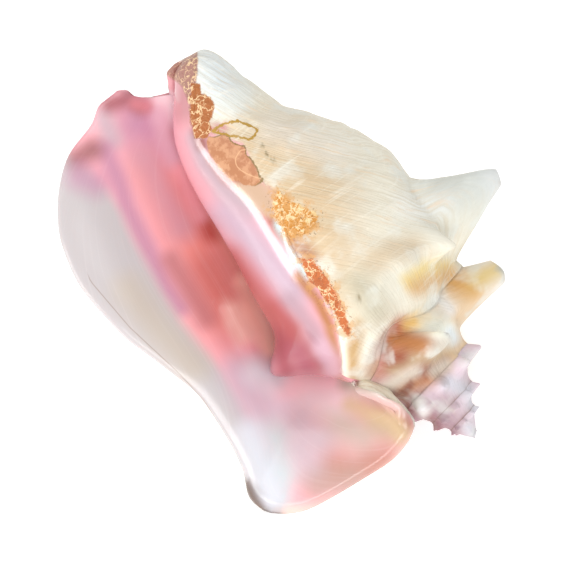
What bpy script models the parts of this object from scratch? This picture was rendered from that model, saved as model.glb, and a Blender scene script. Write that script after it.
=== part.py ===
"""A queen conch shell, lying on its back with its mouth up. One solid, since the shell grew as one piece.

The shell is worked out in its own coil frame: b points from the axis towards the lip, c towards whoever
looks into the mouth, a along the axis from the siphon end (a = 0) to the apex. A place round the axis is
given by its lag, the degrees of growth by which it is older than the lip's edge.
"""

import math

import bmesh
import bpy
import numpy as np
from mathutils import Matrix, Vector

MM = 0.001

# Driving dimensions
SHELL_LENGTH = 220 * MM
TURN_RATIO = 1.62
SUTURE_DROP = 83.6 * MM
LIP_SUTURE_DROP = 53.5 * MM
CLIMB_FROM = 150
LIP_BEARING = -16
FLARE_FROM = 112.5
POCKET_DEPTH = 202.5
WALL = 4.2 * MM
LIP_WALL = 5.0 * MM
TIP_DEPTH = -2.5 * MM
SPIRE_TURNS = 6
APEX_WEAR = 3.0 * MM
SUTURE_DIP = 0.26
EDGE_BULGE = 2.0 * MM
EDGE_ROWS = 2

# How it rests: the upward direction as (b, c, a), and how much is worn off the points it stands on
REST_UP = (-0.35309, 0.71285, -0.60595)
WORN_OFF = 0.7 * MM
KEPT_SHARE = 0.12

# Columns to a turn, stations from suture to suture, and stations from there to the siphon end
COLUMNS = 144
UPPER_STATIONS = 20
LOWER_STATIONS = 56

# One whorl between its sutures, in drops of its own suture: (radius, distance from the apex)
WHORL_OUTLINE = [(0.480, 1.00), (0.565, 1.10), (0.670, 1.24), (0.765, 1.38), (0.800, 1.47), (0.7776, 1.62)]

# Radius of the last whorl in millimetres, at shares of the height from the siphon end to the foot of the
# shoulder, for five lags from the mouth's inside to the flare
BODY_SHARES = [0.88, 0.75, 0.62, 0.50, 0.40, 0.30, 0.20, 0.12, 0.06, 0.02]
BODY_LAGS = [110, 200, 290, 360, 450, 540]
BODY_RADII = [
    [54.5, 51.0, 45.0, 38.0, 31.0, 24.5, 19.0, 15.0, 11.5, 8.0],
    [47.5, 46.3, 42.0, 34.0, 24.5, 19.0, 15.5, 14.0, 11.5, 8.0],
    [44.5, 43.5, 40.5, 36.0, 31.0, 26.0, 21.0, 17.0, 12.5, 8.5],
    [40.5, 39.5, 37.0, 34.0, 32.0, 29.0, 24.0, 18.0, 12.0, 8.0],
    [33.0, 30.0, 27.0, 24.0, 22.0, 19.0, 15.0, 11.0, 8.0, 6.0],
    [26.0, 22.0, 19.0, 17.0, 15.0, 13.0, 11.0, 9.0, 7.0, 5.5],
]
FOOT_OF_SHOULDER = 1.55
SHOULDER = 1.41

# The lip's edge from the suture round to the siphon end, in millimetres: station share, then (b, c, a),
# then the way and the strength with which the wing runs out to it
LIP_EDGE = [
    (0.000, (28, 8, 165), (6, 14, 10)),
    (0.015, (30.5, 13, 166), (4, 20, 12)),
    (0.030, (29, 20, 171.5), (2, 24, 16)),
    (0.050, (22.5, 27, 179), (2, 26, 22)),
    (0.072, (17.5, 30, 187), (6, 24, 30)),
    (0.095, (18.5, 28, 195), (10, 20, 40)),
    (0.120, (26, 25, 200.5), (16, 14, 48)),
    (0.145, (37, 22, 202.5), (26, 12, 50)),
    (0.170, (52, 20, 201.2), (32, 8, 52)),
    (0.200, (69, 18, 199.2), (42, 4, 54)),
    (0.225, (80, 16, 197.2), (50, 0, 50)),
    (0.250, (89, 14, 193), (58, -4, 44)),
    (0.275, (97, 12, 185), (66, -8, 34)),
    (0.300, (98.6, 12, 177), (72, -10, 22)),
    (0.335, (92.5, 14, 163.5), (78, -12, 12)),
    (0.380, (88.7, 17, 148), (78, -12, 4)),
    (0.440, (86.8, 20, 127), (78, -12, 0)),
    (0.500, (92.3, 22, 104), (78, -12, -2)),
    (0.560, (98.3, 22, 82), (78, -12, -6)),
    (0.630, (100.2, 20, 57), (78, -10, -12)),
    (0.690, (96.2, 16, 36.5), (72, -8, -22)),
    (0.740, (87.2, 12, 20), (62, -6, -30)),
    (0.790, (68.3, 9, 3.5), (44, -2, -34)),
    (0.830, (52, 7, -1.5), (30, 0, -34)),
    (0.855, (43, 6, -6.5), (22, 2, -32)),
    (0.880, (34, 4, -6.5), (14, 2, -28)),
    (0.900, (27.5, 0, 1), (10, 2, -18)),
    (0.925, (23.5, -3, 7.3), (8, 0, -12)),
    (0.945, (16.5, -3, 7), (8, 2, -10)),
    (0.963, (12.8, 0, 3), (8, 4, -10)),
    (0.980, (11, 1, -2.5), (7, 4, -8)),
    (1.000, (4, 0, -4), (0, 0, -4)),
]

# Spines: lag, height, half width along the whorl, reach towards the apex, reach towards the siphon end,
# in millimetres, then how far each leans towards the lip and towards the apex, and its worn share
SPINES = [
    (42, 9, 14, 12, 20, 0.0, 0.0, 0.2),
    (80, 25, 14, 14, 24, 0.1, 0.0, 0.08),
    (120, 32, 14, 15, 26, 0.1, 0.0, 0.08),
    (160, 30, 15, 18, 26, 0.1, 0.1, 0.08),
    (201, 30, 16, 19, 26, 0.1, -0.02, 0.08),
    (234, 9, 14, 16, 22, 0.6, 1.5, 0.1),
    (285, 4, 16, 14, 18, 0.0, 0.0, 0.2),
    (470, 20, 11, 10, 12, 0.2, 0.1, 0.25),
    (515, 24, 11, 10, 12, 0.3, 0.1, 0.25),
    (560, 25, 12, 11, 19, 0.3, 0.2, 0.36),
    (650, 18, 12, 10, 14, 1.1, 0.1, 0.3),
    (700, 8, 8, 7, 9, 0.3, 0.1, 0.25),
]
KNOBS_FROM = 735
KNOB_STEP = 38
KNOB_HEIGHT = 0.16
KNOB_WORN = 0.3
TIP_ROUND = 0.10


def smooth(x):
    x = np.clip(x, 0, 1)
    return x * x * (3 - 2 * x)


def through(xs, ys, x):
    """A smooth curve through the points (xs, ys), read at x. It never overshoots the points."""
    xs, ys, x = np.asarray(xs, float), np.asarray(ys, float), np.asarray(x, float)
    flat = ys.reshape(len(xs), -1)
    steps = np.diff(xs)
    slopes = np.diff(flat, axis=0) / steps[:, None]
    tangents = np.empty_like(flat)
    tangents[0], tangents[-1] = slopes[0], slopes[-1]
    before, after = slopes[:-1], slopes[1:]
    same = before * after > 0
    weight_a = (2 * steps[1:] + steps[:-1])[:, None]
    weight_b = (steps[1:] + 2 * steps[:-1])[:, None]
    safe_before = np.where(same, before, 1)
    safe_after = np.where(same, after, 1)
    mean = (weight_a + weight_b) / (weight_a / safe_before + weight_b / safe_after)
    tangents[1:-1] = np.where(same, mean, 0)
    place = np.clip(np.searchsorted(xs, x, side="right") - 1, 0, len(xs) - 2)
    width = steps[place]
    u = np.clip((x - xs[place]) / width, 0, 1)[..., None]
    width = width[..., None]
    y = (
        (1 + 2 * u) * (1 - u) ** 2 * flat[place]
        + u * (1 - u) ** 2 * width * tangents[place]
        + u * u * (3 - 2 * u) * flat[place + 1]
        - u * u * (1 - u) * width * tangents[place + 1]
    )
    return y.reshape(x.shape + ys.shape[1:])


def plain_drop(lag):
    """How far below the apex the suture runs on the plain spiral."""
    return SUTURE_DROP * TURN_RATIO ** (-lag / 360)


def suture_drop(lag):
    """The same, with the climb of the last third of a turn up the spire, and a dip round each spine's foot."""
    climb = smooth(1 - lag / CLIMB_FROM)
    dips = [SUTURE_DIP * MM * h * math.exp(-(((lag + 360 - c) / 22) ** 2)) for c, h, *_ in SPINES if c > 450]
    return plain_drop(lag) * (1 - climb) + LIP_SUTURE_DROP * climb + sum(dips)


def outward(lag):
    """The (b, c) direction away from the axis."""
    bearing = np.radians(LIP_BEARING + lag)
    return np.stack([np.cos(bearing), -np.sin(bearing)], axis=-1)


def outline_of(lag):
    """The points (share, radius, height) that the outer surface passes through at one lag."""
    drop = plain_drop(lag)
    whorl = np.array(WHORL_OUTLINE)
    points = [(r * drop, SHELL_LENGTH - z * drop) for r, z in whorl[:-1]]
    foot = SHELL_LENGTH - FOOT_OF_SHOULDER * drop
    radii = through(BODY_LAGS, np.array(BODY_RADII) * MM, np.clip(lag, BODY_LAGS[0], BODY_LAGS[-1]))
    points += [(r, share * foot) for r, share in zip(radii, BODY_SHARES)]
    points.append((0.0, TIP_DEPTH))
    return np.array(points)


def arc_shares(points):
    steps = np.linalg.norm(np.diff(points, axis=0), axis=1)
    return np.r_[0, np.cumsum(steps)]


def column(lag, upper, lower):
    """Points (radius, height) of one column: from its suture to the next whorl's, then on to the siphon end."""
    points = outline_of(lag)
    arc = arc_shares(points)
    next_drop = suture_drop(lag - 360) if lag >= 360 else None
    heights = points[:, 1]
    full = arc[-1]
    natural = np.interp(-(SHELL_LENGTH - TURN_RATIO * plain_drop(lag)), -heights, arc)
    if next_drop is None:
        at_lip = np.interp(-(SHELL_LENGTH - LIP_SUTURE_DROP), -outline_of(360)[:, 1], arc_shares(outline_of(360)))
        split = at_lip + (natural - at_lip) * smooth((360 - lag) / 110)
        gap = WALL * smooth(1 - (360 - lag) / 40)
    else:
        split = np.interp(-(SHELL_LENGTH - next_drop), -heights, arc)
        gap = WALL
    first = np.linspace(0, split, upper + 1)
    rest = np.linspace(split + gap, full, lower)
    even = np.linspace(split, full, lower + 1)[1:]
    rest = np.where(gap > 0, rest + (even - rest) * (1 - gap / WALL), even)
    return through(arc, points, np.r_[first, rest]), np.r_[first, rest] / full


def outward_ways(lag):
    """The directions away from the axis, and on round it towards the lip, as (b, c, a)."""
    away = np.r_[outward(lag), 0.0]
    bearing = math.radians(LIP_BEARING + lag)
    onward = np.array([math.sin(bearing), math.cos(bearing), 0.0])
    return away, onward


def spine_lift(lag, height):
    """How far the spines and knobs raise the surface there, as (b, c, a)."""
    spines = [(c, h * MM, w * MM, up * MM, down * MM, *rest) for c, h, w, up, down, *rest in SPINES]
    for centre in np.arange(KNOBS_FROM, SPIRE_TURNS * 360, KNOB_STEP):
        drop = plain_drop(centre)
        spines.append((centre, KNOB_HEIGHT * drop, 0.22 * drop, 0.16 * drop, 0.22 * drop, 0.1, 0.0, KNOB_WORN))
    away, onward = outward_ways(lag)
    lift = np.zeros((len(height), 3))
    for centre, tall, wide, up, down, on, rise, worn in spines:
        if abs(lag - centre) > 60:
            continue
        ring = SHELL_LENGTH - SHOULDER * plain_drop(centre)
        crest = 0.775 * plain_drop(centre)
        along = math.radians(lag - centre) * crest / wide
        above = height - ring
        across = above / np.where(above > 0, up, down)
        reach = np.sqrt(along**2 + across**2 + TIP_ROUND**2)
        rest = np.clip((1 - reach) / (1 - TIP_ROUND) / (1 - worn), 0, 1)
        way = away + on * onward + rise * np.array([0, 0, 1])
        lift += (tall * rest**1.35)[:, None] * way
    return lift


def lip_at(share):
    shares = [row[0] for row in LIP_EDGE]
    places = np.array([row[1] for row in LIP_EDGE]) * MM
    pulls = np.array([row[2] for row in LIP_EDGE]) * MM
    return through(shares, places, share), through(shares, pulls, share)


def place(lag, radius, height):
    """Coil-frame points (b, c, a)."""
    return np.concatenate([outward(lag) * radius[..., None], height[..., None]], axis=-1)


def outer_grid(per_turn, upper, lower):
    """Points (column, station, xyz) of the outer surface, oldest column first, and the lag of each column."""
    count = SPIRE_TURNS * per_turn
    lags = (count - np.arange(count + 1)) * 360.0 / per_turn
    stations = upper + lower + 1
    grid = np.zeros((count + 1, stations, 3))
    bare = np.zeros((count + 1, stations, 3))
    shares = np.zeros((count + 1, stations))
    for k, lag in enumerate(lags):
        base = max(lag, FLARE_FROM)
        points, shares[k] = column(base, upper, lower)
        if lag >= FLARE_FROM:
            bare[k] = place(np.full(stations, lag), points[:, 0], points[:, 1])
            lift = spine_lift(lag, points[:, 1])
            if lag > 330:
                hidden = smooth((lag - 330) / 25)
                lift[upper + 1 :] *= 1 - hidden
            grid[k] = bare[k] + lift
    # The wing: each station runs from the body, where it leaves it smoothly, out to the lip's edge
    start = int(round(count - FLARE_FROM * per_turn / 360))
    lag_start = lags[start]
    step = 360.0 / per_turn
    clean, share = column(lag_start, upper, lower)
    older, _ = column(lag_start + step, upper, lower)
    here = place(np.full(stations, lag_start), clean[:, 0], clean[:, 1])
    there = place(np.full(stations, lag_start + step), older[:, 0], older[:, 1])
    pull_start = (here - there) / step * lag_start
    edge, pull_end = lip_at(share)
    edge = edge - EDGE_BULGE * pull_end / np.linalg.norm(pull_end, axis=1, keepdims=True)
    for k in range(start + 1, count + 1):
        u = 1 - lags[k] / lag_start
        run = (
            (1 + 2 * u) * (1 - u) ** 2 * here
            + u * (1 - u) ** 2 * pull_start
            + u * u * (3 - 2 * u) * edge
            - u * u * (1 - u) * pull_end
        )
        bare[k] = run
        grid[k] = run + spine_lift(lags[k], here[:, 2]) * smooth(lags[k] / 45)
        shares[k] = share
    # The suture: a column starts on the older whorl's surface
    apex = np.array([0, 0, SHELL_LENGTH - APEX_WEAR])
    for k in range(count + 1):
        if k < per_turn:
            fade = k / per_turn
            for sheet in (grid, bare):
                sheet[k] = apex + (sheet[k] - apex) * fade
            start_point = apex
        else:
            start_point = grid[k - per_turn, upper]
        distance = np.linalg.norm(bare[k] - bare[k, 0], axis=1)
        reach = max(0.35 * distance[upper], 1e-5) if lags[k] > 360 else 22 * MM
        pull = np.clip(1 - distance / reach, 0, 1)[:, None] ** 2
        grid[k] = grid[k] + (start_point - grid[k, 0]) * pull
        bare[k] = bare[k] + (start_point - bare[k, 0]) * pull
    return grid, bare, lags, shares


def thin_at_notch(share):
    return smooth((share - 0.78) / 0.1)


def thin_at_suture(share):
    return smooth(1 - share / 0.05)


def normals_of(grid):
    along = np.gradient(grid, axis=0)
    down = np.gradient(grid, axis=1)
    normal = np.cross(down, along)
    length = np.linalg.norm(normal, axis=2, keepdims=True)
    return normal / np.where(length > 1e-12, length, 1)


def shell_mesh(per_turn, upper, lower):
    """Vertices and faces of the whole shell as one closed skin."""
    grid, bare, lags, shares = outer_grid(per_turn, upper, lower)
    count = len(grid) - 1
    last = upper + lower
    pocket = int(round(POCKET_DEPTH * per_turn / 360))
    normal = normals_of(bare)
    index = -np.ones(grid.shape[:2], int)
    vertices, faces = [], []

    def add(point):
        vertices.append(point)
        return len(vertices) - 1

    apex = add(np.array([0, 0, SHELL_LENGTH - APEX_WEAR]))
    tip = add(np.array([0, 0, TIP_DEPTH]))
    for k in range(count + 1):
        reach = last if k >= count - per_turn - pocket else upper
        for i in range(reach + 1):
            if k == 0 or (i == 0 and k < per_turn):
                index[k, i] = apex
            elif i == 0:
                index[k, i] = index[k - per_turn, upper]
            elif i == last:
                index[k, i] = tip
            else:
                index[k, i] = add(grid[k, i])

    inner = -np.ones((pocket + 1, last + 1), int)
    for n in range(pocket + 1):
        k = count - pocket + n
        old = k - per_turn
        thick = WALL + (LIP_WALL - WALL) * smooth(1 - lags[k] / FLARE_FROM)
        thick = thick * (1 - 0.55 * smooth(1 - lags[k] / 90) * np.maximum(thin_at_notch(shares[k]), thin_at_suture(shares[k])))
        offset = bare[k] - normal[k] * thick[:, None]
        head = grid[old, upper + 1] - offset[0]
        foot = grid[old, last - 1] - offset[last]
        from_head = np.linalg.norm(grid[k] - grid[k, 0], axis=1)
        from_foot = np.linalg.norm(grid[k] - grid[k, last], axis=1)
        offset = offset + head * (np.clip(1 - from_head / (24 * MM), 0, 1) ** 2)[:, None]
        offset = offset + foot * (np.clip(1 - from_foot / (24 * MM), 0, 1) ** 2)[:, None]
        inner[n, 0] = index[old, upper + 1]
        inner[n, last] = index[old, last - 1]
        for i in range(1, last):
            inner[n, i] = add(offset[i])

    def quad(a, b, c, d):
        ring = []
        for corner in (a, b, c, d):
            if corner not in ring:
                ring.append(int(corner))
        if len(ring) > 2:
            faces.append(ring)

    first_open = count - per_turn
    for k in range(count):
        for i in range(last):
            if i >= upper and k < first_open - pocket:
                break
            if i == upper and k < first_open:
                continue
            if i == last - 1 and k < first_open:
                continue
            quad(index[k, i], index[k + 1, i], index[k + 1, i + 1], index[k, i + 1])
    for n in range(pocket):
        for i in range(last):
            quad(inner[n, i], inner[n, i + 1], inner[n + 1, i + 1], inner[n + 1, i])
    # The lip's rounded edge
    onward = grid[count] - grid[count - 1]
    onward /= np.maximum(np.linalg.norm(onward, axis=1, keepdims=True), 1e-9)
    rows = [index[count]]
    for r in range(1, EDGE_ROWS + 1):
        turn = math.pi * r / (EDGE_ROWS + 1)
        row = index[count].copy()
        for i in range(1, last):
            a, b = np.array(vertices[index[count, i]]), np.array(vertices[inner[pocket, i]])
            side = (a + b) / 2 + (a - b) / 2 * math.cos(turn)
            row[i] = add(side + onward[i] * EDGE_BULGE * math.sin(turn))
        rows.append(row)
    rows.append(inner[pocket])
    for first, second in zip(rows, rows[1:]):
        for i in range(last):
            quad(first[i], second[i], second[i + 1], first[i + 1])
    return vertices, faces, index, inner, grid


def close_pocket(faces, index, inner, upper, lower, per_turn, count, pocket):
    """The pocket's far end: strips between the older whorl's side and the outer wall's."""
    old = count - pocket - per_turn
    last = upper + lower
    side_a = [int(index[old, i]) for i in range(upper + 1, last)]
    side_b = [int(inner[0, i]) for i in range(0, last + 1)]
    i = j = 0
    while i < len(side_a) - 1 or j < len(side_b) - 1:
        if j / (len(side_b) - 1) <= i / (len(side_a) - 1):
            ring = [side_a[i], side_b[j + 1], side_b[j]]
            j += 1
        else:
            ring = [side_a[i], side_a[i + 1], side_b[j]]
            i += 1
        if len(set(ring)) == 3:
            faces.append(ring)


def skin_object(name):
    """The shell standing in its coil frame, siphon end down."""
    vertices, faces, index, inner, grid = shell_mesh(COLUMNS, UPPER_STATIONS, LOWER_STATIONS)
    count = len(grid) - 1
    pocket = inner.shape[0] - 1
    close_pocket(faces, index, inner, UPPER_STATIONS, LOWER_STATIONS, COLUMNS, count, pocket)
    mesh = bpy.data.meshes.new(name)
    mesh.from_pydata([(v[0], -v[1], v[2]) for v in vertices], [], faces)
    mesh.validate()
    shell = bpy.data.objects.new(name, mesh)
    group = bpy.data.collections.new("conch shell")
    bpy.context.scene.collection.children.link(group)
    group.objects.link(shell)
    return shell


def thin_out(shell):
    """Fewer triangles, keeping the shape."""
    modifier = shell.modifiers.new("fewer", "DECIMATE")
    modifier.ratio = KEPT_SHARE
    modifier.use_collapse_triangulate = True
    graph = bpy.context.evaluated_depsgraph_get()
    thin = bpy.data.meshes.new_from_object(shell.evaluated_get(graph))
    shell.modifiers.clear()
    shell.data = thin


def lay_down(shell):
    """Turns the shell to how it rests, wears its lowest points flat, and stands it on z = 0."""
    up = Vector((REST_UP[0], -REST_UP[1], REST_UP[2])).normalized()
    viewer = Vector((0, -1, 0))
    front = (viewer - viewer.dot(up) * up).normalized()
    side = (-front).cross(up)
    turn = Matrix((side, -front, up)).to_4x4()
    shell.data.transform(turn)
    body = bmesh.new()
    body.from_mesh(shell.data)
    low = min(v.co.z for v in body.verts) + WORN_OFF
    everything = body.verts[:] + body.edges[:] + body.faces[:]
    bmesh.ops.bisect_plane(body, geom=everything, plane_co=(0, 0, low), plane_no=(0, 0, -1), clear_outer=True)
    bmesh.ops.holes_fill(body, edges=[e for e in body.edges if e.is_boundary])
    bmesh.ops.triangulate(body, faces=body.faces[:])
    bmesh.ops.recalc_face_normals(body, faces=body.faces[:])
    body.to_mesh(shell.data)
    body.free()
    points = [v.co for v in shell.data.vertices]
    middle = [(min(p[n] for p in points) + max(p[n] for p in points)) / 2 for n in (0, 1)]
    shell.data.transform(Matrix.Translation((-middle[0], -middle[1], -low)))


def shell_material():
    """Cream shell, a little glossy."""
    material = bpy.data.materials.new("shell")
    material.use_nodes = True
    surface = material.node_tree.nodes["Principled BSDF"]
    surface.inputs["Base Color"].default_value = (0.82, 0.70, 0.60, 1)
    surface.inputs["Roughness"].default_value = 0.4
    surface.inputs["Metallic"].default_value = 0.0
    return material


def build():
    for old in list(bpy.data.objects):
        bpy.data.objects.remove(old)
    shell = skin_object("conch_shell")
    thin_out(shell)
    lay_down(shell)
    shell.data.shade_smooth()
    shell.data.materials.append(shell_material())
    return shell


if __name__ == "__main__":
    build()
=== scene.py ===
# %% [markdown]
# # A queen conch, laid on its back with its mouth up
#
# The real thing is one piece: a chalky shell that a sea snail wound round an axis, turn by turn, and then
# glazed pink wherever its soft body touched it. So the model is one mesh too. This lesson winds that mesh,
# gives it the fine relief that growth leaves, notes on every vertex how old and how worn it is, and then
# lets two materials read those notes: chalk for the outside and porcelain glaze for the mouth.
#
# The frame comes first. It is the plain solid of the same shell, and it says where everything sits.

# %% Load the frame
import math

import bmesh
import bpy
import numpy as np
from mathutils import Matrix, Quaternion, Vector


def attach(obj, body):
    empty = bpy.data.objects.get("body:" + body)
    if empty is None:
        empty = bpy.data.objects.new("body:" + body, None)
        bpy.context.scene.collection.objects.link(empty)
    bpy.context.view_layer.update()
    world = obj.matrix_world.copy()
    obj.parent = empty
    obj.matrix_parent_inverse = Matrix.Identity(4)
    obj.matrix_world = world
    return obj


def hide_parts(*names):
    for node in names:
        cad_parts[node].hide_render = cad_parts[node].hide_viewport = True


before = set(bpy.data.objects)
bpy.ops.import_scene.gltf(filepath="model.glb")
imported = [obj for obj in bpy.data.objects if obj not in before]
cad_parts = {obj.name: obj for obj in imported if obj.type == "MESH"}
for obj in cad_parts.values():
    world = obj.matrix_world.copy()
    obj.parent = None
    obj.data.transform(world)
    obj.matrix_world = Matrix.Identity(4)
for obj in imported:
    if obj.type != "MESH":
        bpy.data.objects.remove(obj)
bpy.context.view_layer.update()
MM = 0.001

# %% [markdown]
# ## The coil's own directions
#
# A shell is easiest to describe from its axis. Here b points from the axis towards the lip, c towards
# whoever looks into the mouth, and a along the axis from the siphon end to the apex. A place round the axis
# is given by its lag: how many degrees of growth it is older than the lip's edge.
#
# Two small curve helpers carry most of the shapes. One eases from 0 to 1, the other runs a smooth curve
# through points without overshooting them, which keeps thin walls from waving.

# %% Curve helpers
def smooth(x):
    x = np.clip(x, 0, 1)
    return x * x * (3 - 2 * x)


def through(xs, ys, x):
    """A smooth curve through the points (xs, ys), read at x. It never overshoots the points."""
    xs, ys, x = np.asarray(xs, float), np.asarray(ys, float), np.asarray(x, float)
    flat = ys.reshape(len(xs), -1)
    steps = np.diff(xs)
    slopes = np.diff(flat, axis=0) / steps[:, None]
    tangents = np.empty_like(flat)
    tangents[0], tangents[-1] = slopes[0], slopes[-1]
    before, after = slopes[:-1], slopes[1:]
    same = before * after > 0
    weight_a = (2 * steps[1:] + steps[:-1])[:, None]
    weight_b = (steps[1:] + 2 * steps[:-1])[:, None]
    safe_before = np.where(same, before, 1)
    safe_after = np.where(same, after, 1)
    mean = (weight_a + weight_b) / (weight_a / safe_before + weight_b / safe_after)
    tangents[1:-1] = np.where(same, mean, 0)
    place = np.clip(np.searchsorted(xs, x, side="right") - 1, 0, len(xs) - 2)
    width = steps[place]
    u = np.clip((x - xs[place]) / width, 0, 1)[..., None]
    width = width[..., None]
    y = (
        (1 + 2 * u) * (1 - u) ** 2 * flat[place]
        + u * (1 - u) ** 2 * width * tangents[place]
        + u * u * (3 - 2 * u) * flat[place + 1]
        - u * u * (1 - u) * width * tangents[place + 1]
    )
    return y.reshape(x.shape + ys.shape[1:])


print("halfway along an ease:", float(smooth(0.5)))

# %% [markdown]
# ## The spiral
#
# Each turn of a shell is a scaled copy of the one before. One number, the growth of a turn, gives the whole
# spire. The last third of a turn breaks the rule: the lip climbs back up the spire, as it does on an adult.
# The suture, the seam between two whorls, also dips round the foot of each spine of the older whorl.

# %% The spiral's values
SHELL_LENGTH = 220 * MM
TURN_RATIO = 1.62
SUTURE_DROP = 83.6 * MM
LIP_SUTURE_DROP = 53.5 * MM
CLIMB_FROM = 150
LIP_BEARING = -16
FLARE_FROM = 112.5
POCKET_DEPTH = 202.5
WALL = 4.2 * MM
LIP_WALL = 5.0 * MM
TIP_DEPTH = 0.0 * MM
SPIRE_TURNS = 6
APEX_WEAR = 3.0 * MM
SUTURE_DIP = 0.26
SUTURE_DIP_REACH = 22
FRONT_DIP = 6.0 * MM
FRONT_DIP_AT = 282
FRONT_DIP_REACH = 30
OLDER_SPINES_FROM = 450
FOOT_OF_SHOULDER = 1.55
SHOULDER = 1.41

# Spines: lag, height, half width along the whorl, reach towards the apex, reach towards the siphon end,
# in millimetres, then how far each leans towards the lip and towards the apex, and its worn share
SPINES = [
    (42, 9, 14, 12, 20, 0.0, 0.0, 0.2),
    (80, 25, 14, 14, 24, 0.1, 0.0, 0.08),
    (120, 32, 14, 15, 26, 0.1, 0.0, 0.08),
    (160, 30, 15, 18, 26, 0.1, 0.1, 0.08),
    (201, 30, 16, 19, 26, 0.1, -0.02, 0.08),
    (234, 7, 9, 10, 13, 0.6, 1.2, 0.05),
    (285, 4, 16, 14, 18, 0.0, 0.0, 0.2),
    (470, 20, 11, 10, 12, 0.2, 0.1, 0.25),
    (515, 26, 9, 8, 10, 0.3, 0.1, 0.22),
    (560, 24, 12, 9, 24, 0.3, 0.08, 0.36),
    (650, 16, 11, 9, 13, 1.0, 0.1, 0.25),
]


def plain_drop(lag):
    """How far below the apex the suture runs on the plain spiral."""
    return SUTURE_DROP * TURN_RATIO ** (-lag / 360)


def suture_drop(lag):
    """The same, with the lip's climb up the spire and a dip round each spine's foot."""
    climb = smooth(1 - lag / CLIMB_FROM)
    dips = [FRONT_DIP * math.exp(-(((lag - FRONT_DIP_AT) / FRONT_DIP_REACH) ** 2))]
    for centre, tall, *_ in SPINES:
        if centre > OLDER_SPINES_FROM:
            past = (lag + 360 - centre) / SUTURE_DIP_REACH
            dips.append(SUTURE_DIP * tall * MM * math.exp(-(past**2)))
    return plain_drop(lag) * (1 - climb) + LIP_SUTURE_DROP * climb + sum(dips)


def outward(lag):
    """The (b, c) direction away from the axis."""
    bearing = np.radians(LIP_BEARING + lag)
    return np.stack([np.cos(bearing), -np.sin(bearing)], axis=-1)


print("suture drops by turn, mm:", [round(plain_drop(360 * n) / MM, 1) for n in range(SPIRE_TURNS)])

# %% [markdown]
# ## One whorl's outline
#
# Cut the shell along its axis and each whorl shows the same profile: a sloping ramp, a shoulder where the
# spines stand, and for the last whorl a long tapering body down to the siphon. The ramp scales with the
# spiral. The body is a table of radii, because it grew fatter towards the lip than a plain spiral would.

# %% The outline of a whorl
WHORL_OUTLINE = [(0.480, 1.00), (0.565, 1.10), (0.670, 1.24), (0.765, 1.38), (0.800, 1.47), (0.7776, 1.62)]
BODY_SHARES = [0.88, 0.75, 0.62, 0.50, 0.40, 0.30, 0.20, 0.12, 0.06, 0.02]
BODY_LAGS = [110, 200, 290, 360, 450, 540]
BODY_RADII = [
    [54.5, 51.0, 45.0, 38.0, 31.0, 24.5, 19.0, 15.0, 11.5, 8.0],
    [47.5, 46.3, 42.0, 34.0, 24.5, 19.0, 15.5, 14.0, 11.5, 8.0],
    [44.5, 43.5, 40.5, 36.0, 31.0, 26.0, 21.0, 17.0, 12.5, 8.5],
    [43.5, 42.0, 38.6, 36.0, 34.5, 32.0, 27.5, 20.0, 12.5, 8.0],
    [33.0, 30.0, 27.0, 24.0, 22.0, 19.0, 15.0, 11.0, 8.0, 6.0],
    [26.0, 22.0, 19.0, 17.0, 15.0, 13.0, 11.0, 9.0, 7.0, 5.5],
]
# Degrees over which the last whorl's split moves to its own suture, and its wall's gap opens
BLEND_OVER, GAP_OVER = 110, 40


def outline_of(lag):
    """The points (radius, height) that the outer surface passes through at one lag."""
    drop = plain_drop(lag)
    whorl = np.array(WHORL_OUTLINE)
    points = [(r * drop, SHELL_LENGTH - z * drop) for r, z in whorl[:-1]]
    foot = SHELL_LENGTH - FOOT_OF_SHOULDER * drop
    radii = through(BODY_LAGS, np.array(BODY_RADII) * MM, np.clip(lag, BODY_LAGS[0], BODY_LAGS[-1]))
    points += [(r, share * foot) for r, share in zip(radii, BODY_SHARES)]
    points.append((0.0, TIP_DEPTH))
    return np.array(points)


def arc_shares(points):
    steps = np.linalg.norm(np.diff(points, axis=0), axis=1)
    return np.r_[0, np.cumsum(steps)]


def column(lag, upper, lower):
    """Points (radius, height) of one column: from its suture to the next, then on to the siphon end."""
    points = outline_of(lag)
    arc = arc_shares(points)
    heights = points[:, 1]
    full = arc[-1]
    if lag < 360:
        ramp = outline_of(360)
        at_lip = np.interp(-(SHELL_LENGTH - LIP_SUTURE_DROP), -ramp[:, 1], arc_shares(ramp))
        natural = np.interp(-(SHELL_LENGTH - TURN_RATIO * plain_drop(lag)), -heights, arc)
        split = at_lip + (natural - at_lip) * smooth((360 - lag) / BLEND_OVER)
        gap = WALL * smooth(1 - (360 - lag) / GAP_OVER)
    else:
        split = np.interp(-(SHELL_LENGTH - suture_drop(lag - 360)), -heights, arc)
        gap = WALL
    first = np.linspace(0, split, upper + 1)
    rest = np.linspace(split + gap, full, lower)
    even = np.linspace(split, full, lower + 1)[1:]
    rest = rest + (even - rest) * (1 - gap / WALL)
    return through(arc, points, np.r_[first, rest]), np.r_[first, rest] / full


print("the last whorl's outline has", len(outline_of(200)), "points")

# %% [markdown]
# ## Spines and knobs
#
# The mantle folded outward at regular steps, and each fold set into a hollow spine. On the last whorl they
# are long and a little worn at the tip, on the spire they shrink to knobs. Each is a rounded cone that lifts
# the surface away from the axis and leans with the growth.

# %% Spines and knobs
KNOBS_FROM = 762
KNOB_STEP = 40
KNOB_HEIGHT = 0.34
KNOB_WORN = 0.04
KNOB_LEAN = 0.1
KNOB_REACH = (0.22, 0.15, 0.34)
TIP_ROUND = 0.10


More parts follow.
